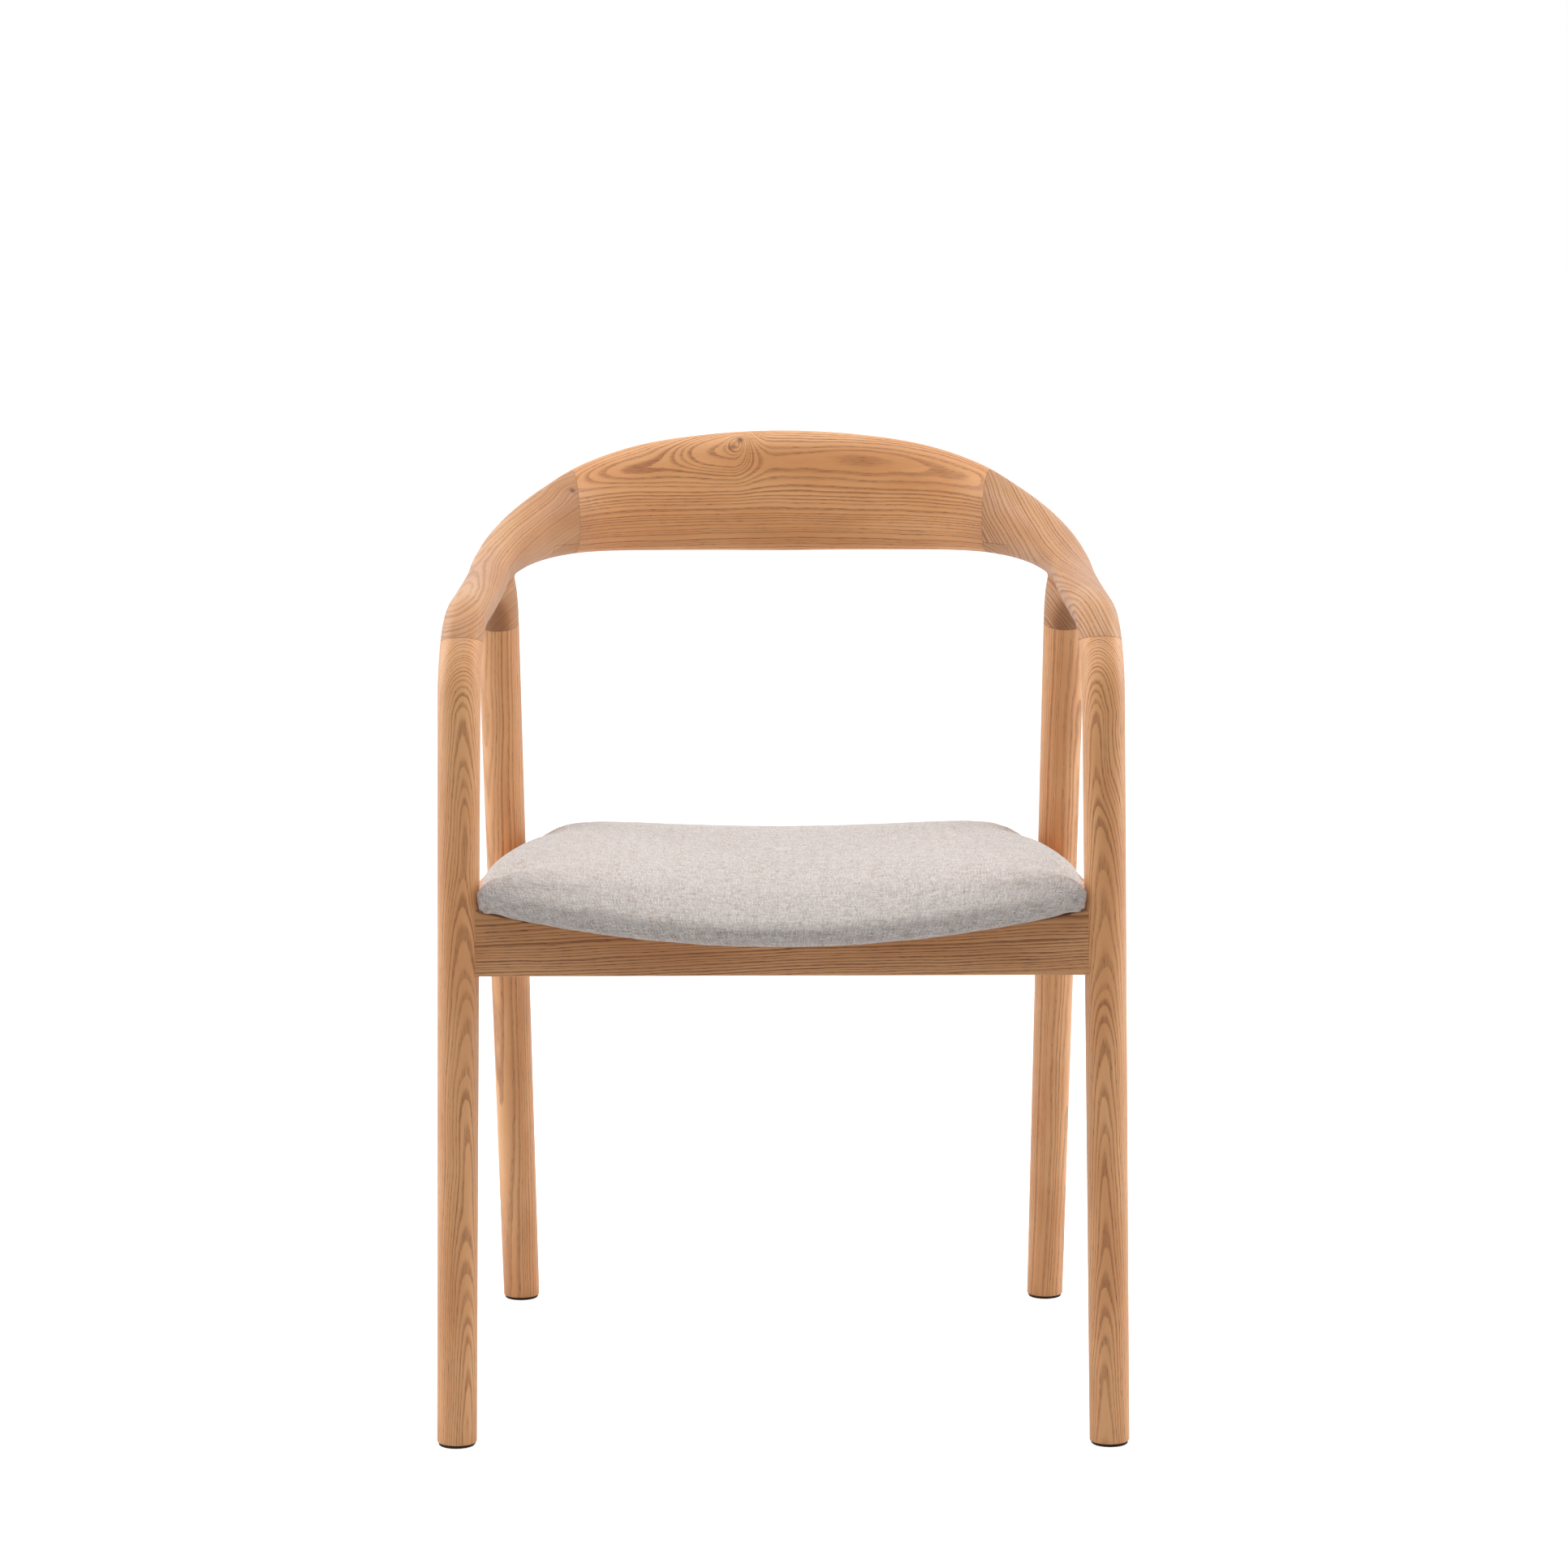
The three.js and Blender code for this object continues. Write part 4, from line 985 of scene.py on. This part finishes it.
def back_grain(piece):
    """Gives each point of the bent backrest its place on the straight board, for the grain to follow."""
    points = points_of(piece) / MM
    points[:, 1] -= FRONT_AXIS_Y
    steps = SECTIONS * GRAIN_STEPS
    middle = np.array([catmull_rom(STATIONS, k / steps)[:3] for k in range(steps + 1)])
    middle = middle[middle[:, 1] > BEND_RADIUS * 2]
    order = np.argsort(middle[:, 0])
    curve_y = np.interp(points[:, 0], middle[order, 0], middle[order, 1])
    middle_z = STATIONS[MIDDLE_SECTION][2]
    values = np.column_stack([points[:, 0], points[:, 1] - curve_y, points[:, 2] - middle_z])
    attribute = piece.data.attributes.new("grain", "FLOAT_VECTOR", "POINT")
    attribute.data.foreach_set("vector", values.astype(np.float32).ravel())


front_leg_wood = {
    "left": ash(
        "ash_front_leg_left", [-260, 0, 300], UP, BACK, pith=(-72, -27), lean=(-0.06, 0.0), ring=1.7,
        seed=1.0, contrast=0.78, wander=17.0),
    "right": ash(
        "ash_front_leg_right", [260, 0, 300], UP, BACK, pith=(-70, 10), lean=(-0.055, 0.01), ring=1.75,
        seed=2.0, contrast=0.88, wander=17.0, bumps=[(265, -3, 55, 55, 10, 7)]),
}
rear_leg_wood = {
    "left": ash(
        "ash_rear_leg_left", REAR_TOP * MIRROR, REAR_AXIS, RIGHT, pith=(60, 45), lean=(0.01, 0),
        seed=3.0, contrast=0.7),
    "right": ash(
        "ash_rear_leg_right", REAR_TOP, REAR_AXIS, RIGHT, pith=(-70, 38), lean=(0.012, 0),
        seed=4.0, contrast=0.7),
}
ARM_LINE = BACK_JOINT - LEG_JOINT
# Painted shade: each arm darkens towards the pore colour as it nears the backrest joint.
PAINTED_SHADE_ARM_END = (405, 0, 55, 20, 70, 0.15)
arm_wood = {
    "left": ash(
        "ash_arm_left", LEG_JOINT * MIRROR, ARM_LINE * MIRROR, RIGHT, pith=(60, 150), lean=(0.02, -0.01),
        seed=5.0, contrast=0.5, tone=1.0, bumps=[(385, -24, 16, 16, 9, -5)],
        knots_and_painted_shade=[(385, -24, 2.4, 2.4, 1.9, 0.95), PAINTED_SHADE_ARM_END]),
    "right": ash(
        "ash_arm_right", LEG_JOINT, ARM_LINE, UP, pith=(60, 150), seed=6.0, tone=1.0, knots_and_painted_shade=[PAINTED_SHADE_ARM_END]),
}
filler_wood = {
    "left": ash(
        "ash_filler_left", BACK_JOINT * MIRROR, ARM_LINE * MIRROR, UP, pith=(-70, 12), ring=2.4,
        seed=7.0, tone=1.0),
    "right": ash(
        "ash_filler_right", BACK_JOINT, ARM_LINE, UP, pith=(-60, -20), ring=2.4, seed=8.0, tone=0.9),
}
side_rail_wood = {
    "left": ash(
        "ash_side_rail_left", [-240, 150, 400], BACK, UP, pith=(50, 22), lean=(0.02, 0.01), seed=9.0),
    "right": ash(
        "ash_side_rail_right", [240, 150, 400], BACK, UP, pith=(-48, 26), lean=(0.02, 0.02), seed=10.0),
}
back_wood = ash(
    "ash_backrest", [0, 0, 0], RIGHT, BACK, pith=(-46, 32), seed=11.0, contrast=0.95,
    attribute="grain", wander=5.0,
    bumps=[(-42, 48, 64, 17, 31, -23), (-37, 43, 9, 7, 8, -9), (78, 32, 58, 60, 14, -3.6),
           (-134, 22, 34, 30, 11, -4)],
    knots_and_painted_shade=[(-36, 45, 2.6, 2.6, 2.2, 0.9), (-43, 39, 3.5, 3, 2.4, 0.6)])
front_rail_wood = ash(
    "ash_front_rail", [0, 0, 415], RIGHT, UP, pith=(30, 24), lean=(0.03, 0.02), ring=2.4, seed=12.0,
    contrast=1.2, tone=1.08)
rear_rail_wood = ash(
    "ash_rear_rail", [0, 400, 400], RIGHT, UP, pith=(-34, 28), lean=(0.02, 0.03), seed=13.0)
spare_wood = ash("ash_blocks", [0, 0, 400], RIGHT, UP, pith=(60, 60), ring=2.8, seed=14.0)

place_pair(front_leg(), "front_leg", front_leg_wood)
place_pair(rear_leg(), "rear_leg", rear_leg_wood)

arm_body = arm()
filler = copied(arm_body, "filler")
combine(arm_body, "DIFFERENCE", filler_zone(GLUE_LINE))
combine(filler, "INTERSECT", filler_zone(-GLUE_LINE))
place_pair(arm_body, "arm", arm_wood)
place_pair(filler, "arm_filler", filler_wood)

back = backrest()
back_grain(back)
place_piece(back, "ash_backrest", back_wood, "backrest")


def cope(rail, *rings_of_legs):
    for rings in rings_of_legs:
        combine(rail, "DIFFERENCE", loft("room", rings))


front_room = []
for z in (300, 500):
    leg_x = FRONT_FOOT_X + (BEND_X - FRONT_FOOT_X) * z / BEND_START_Z
    front_room.append(ring([leg_x, 0, z], RIGHT, -BACK, LEG_ROOM_RADIUS, LEG_ROOM_RADIUS))
rear_room = [rear_leg_ring(share, REAR_ROOM) for share in (0.4, 0.9)]
front_rail = cross_rail(
    "front_rail", RAIL_LEG_X, RAIL_TOP_Z - RAIL_HEIGHT, RAIL_TOP_Z, FRONT_RAIL_DIP_Z,
    RAIL_FRONT_Y + RAIL_THICKNESS / 2, tilt=0)
cope(front_rail, front_room, [points * MIRROR for points in front_room])
place_piece(front_rail, "ash_front_rail", front_rail_wood, "front_rail")
rear_rail = cross_rail(
    "rear_rail", REAR_AT_RAIL[0], REAR_RAIL_MIDDLE_Z - REAR_RAIL_HEIGHT / 2,
    REAR_RAIL_MIDDLE_Z + REAR_RAIL_HEIGHT / 2, REAR_RAIL_DIP_Z, REAR_AT_RAIL[1], REAR_RAKE)
cope(rear_rail, rear_room, [points * MIRROR for points in rear_room])
place_piece(rear_rail, "ash_rear_rail", rear_rail_wood, "rear_rail")
right_side_rail = side_rail()
cope(right_side_rail, front_room, rear_room)
place_pair(right_side_rail, "side_rail", side_rail_wood)

seat = cushion()
cloth_coordinates(seat)
seat.data.shade_smooth()
assign(seat, melange())
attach(seat, "root")
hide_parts("seat_cover", "seat_foam")

kept_materials = {
    "ash": spare_wood,
    "plywood": plywood(),
    "liner": nonwoven(),
    "steel": steel(),
    "glide": felt_glide(),
}
KEPT = {
    "leg_tenon": "ash", "rear_leg_dowel": "ash", "back_dowel": "ash", "corner_block": "ash",
    "seat_board": "plywood", "dust_cover": "liner", "corner_screw": "steel", "seat_bolt": "steel",
    "tee_nut": "steel", "glide_nail": "steel", "glide_": "glide",
}
for node_name, node in nodes.items():
    for start_of_name, kind in KEPT.items():
        if node_name.startswith(start_of_name):
            node.data.materials.clear()
            node.data.materials.append(kept_materials[kind])
            break

# ---------------------------------------------------------------- studio

FLOOR_SIZE = 60.0
FLOOR_GLOW = 0.7


def studio_floor():
    mesh = bpy.data.meshes.new("studio_floor")
    half = FLOOR_SIZE / 2
    corners = [(-half, -half, 0), (half, -half, 0), (half, half, 0), (-half, half, 0)]
    mesh.from_pydata(corners, [], [(0, 1, 2, 3)])
    floor = bpy.data.objects.new("studio_floor", mesh)
    scene.collection.objects.link(floor)
    s = Shader("studio_floor")
    place = s.node("ShaderNodeTexCoord").outputs["Object"]
    mottle = s.noise(place, scale=3.0, detail=2.0)
    colour = s.ramp(mottle, [(0.3, (0.76, 0.76, 0.76, 1)), (0.7, (0.8, 0.8, 0.8, 1))])
    s.surface.inputs["Emission Color"].default_value = (1, 1, 1, 1)
    seen = s.node("ShaderNodeLightPath").outputs["Is Camera Ray"]
    s.tree.links.new(s.times(seen, FLOOR_GLOW), s.surface.inputs["Emission Strength"])
    assign(floor, s.finish(colour, s.spread(mottle, 0.2, 0.8, 0.75, 0.85)))


def softbox(name, size, location, target, power):
    light = bpy.data.lights.new(name, "AREA")
    light.shape = "RECTANGLE"
    light.size = size[0]
    light.size_y = size[1]
    light.energy = power
    made = bpy.data.objects.new(name, light)
    made.location = location
    made.rotation_euler = (Vector(target) - Vector(location)).to_track_quat("-Z", "Y").to_euler()
    scene.collection.objects.link(made)


def studio_world(front, rear):
    """A white room, brighter behind the chair than before it, and plain white to the camera."""
    world = bpy.data.worlds.new("studio_world")
    world.use_nodes = True
    tree = world.node_tree
    background = tree.nodes["Background"]
    background.inputs["Color"].default_value = (1, 1, 1, 1)
    place = tree.nodes.new("ShaderNodeTexCoord")
    split = tree.nodes.new("ShaderNodeSeparateXYZ")
    tree.links.new(place.outputs["Generated"], split.inputs[0])
    depth = tree.nodes.new("ShaderNodeMapRange")
    for socket, value in (("From Min", -1), ("From Max", 1), ("To Min", front), ("To Max", rear)):
        depth.inputs[socket].default_value = value
    tree.links.new(split.outputs["Y"], depth.inputs["Value"])
    path = tree.nodes.new("ShaderNodeLightPath")
    level = tree.nodes.new("ShaderNodeMapRange")
    level.inputs["To Max"].default_value = 1.0
    tree.links.new(path.outputs["Is Camera Ray"], level.inputs["Value"])
    tree.links.new(depth.outputs["Result"], level.inputs["To Min"])
    tree.links.new(level.outputs["Result"], background.inputs["Strength"])
    scene.world = world


CAMERA_Z = 1.068
CAMERA_BACK = 3.85
CAMERA_X = 0.002
CAMERA_PITCH = math.radians(7.8)
CAMERA_ROLL = math.radians(-0.15)
SENSOR = 36.0
LENS = 111.9


def studio_camera():
    data = bpy.data.cameras.new("camera")
    data.sensor_width = SENSOR
    data.lens = LENS
    camera = bpy.data.objects.new("camera", data)
    turn = Matrix.Rotation(math.pi / 2 - CAMERA_PITCH, 4, "X") @ Matrix.Rotation(CAMERA_ROLL, 4, "Z")
    place = Matrix.Translation((CAMERA_X, FRONT_AXIS_Y * MM - CAMERA_BACK, CAMERA_Z))
    camera.matrix_world = place @ turn
    scene.collection.objects.link(camera)
    scene.camera = camera


studio_floor()
studio_world(front=0.12, rear=0.95)
LIGHT_TARGET = (0, 0, 0.5)
SIDE_POWER = 32
TOP_POWER = 28
softbox("light_left", (1.6, 2.0), (-2.2, 0.5, 1.3), LIGHT_TARGET, SIDE_POWER)
softbox("light_right", (1.6, 2.0), (2.2, 0.5, 1.3), LIGHT_TARGET, SIDE_POWER)
softbox("light_top", (2.0, 2.0), (0, -0.4, 2.6), LIGHT_TARGET, TOP_POWER)
studio_camera()
scene.view_settings.view_transform = "Standard"
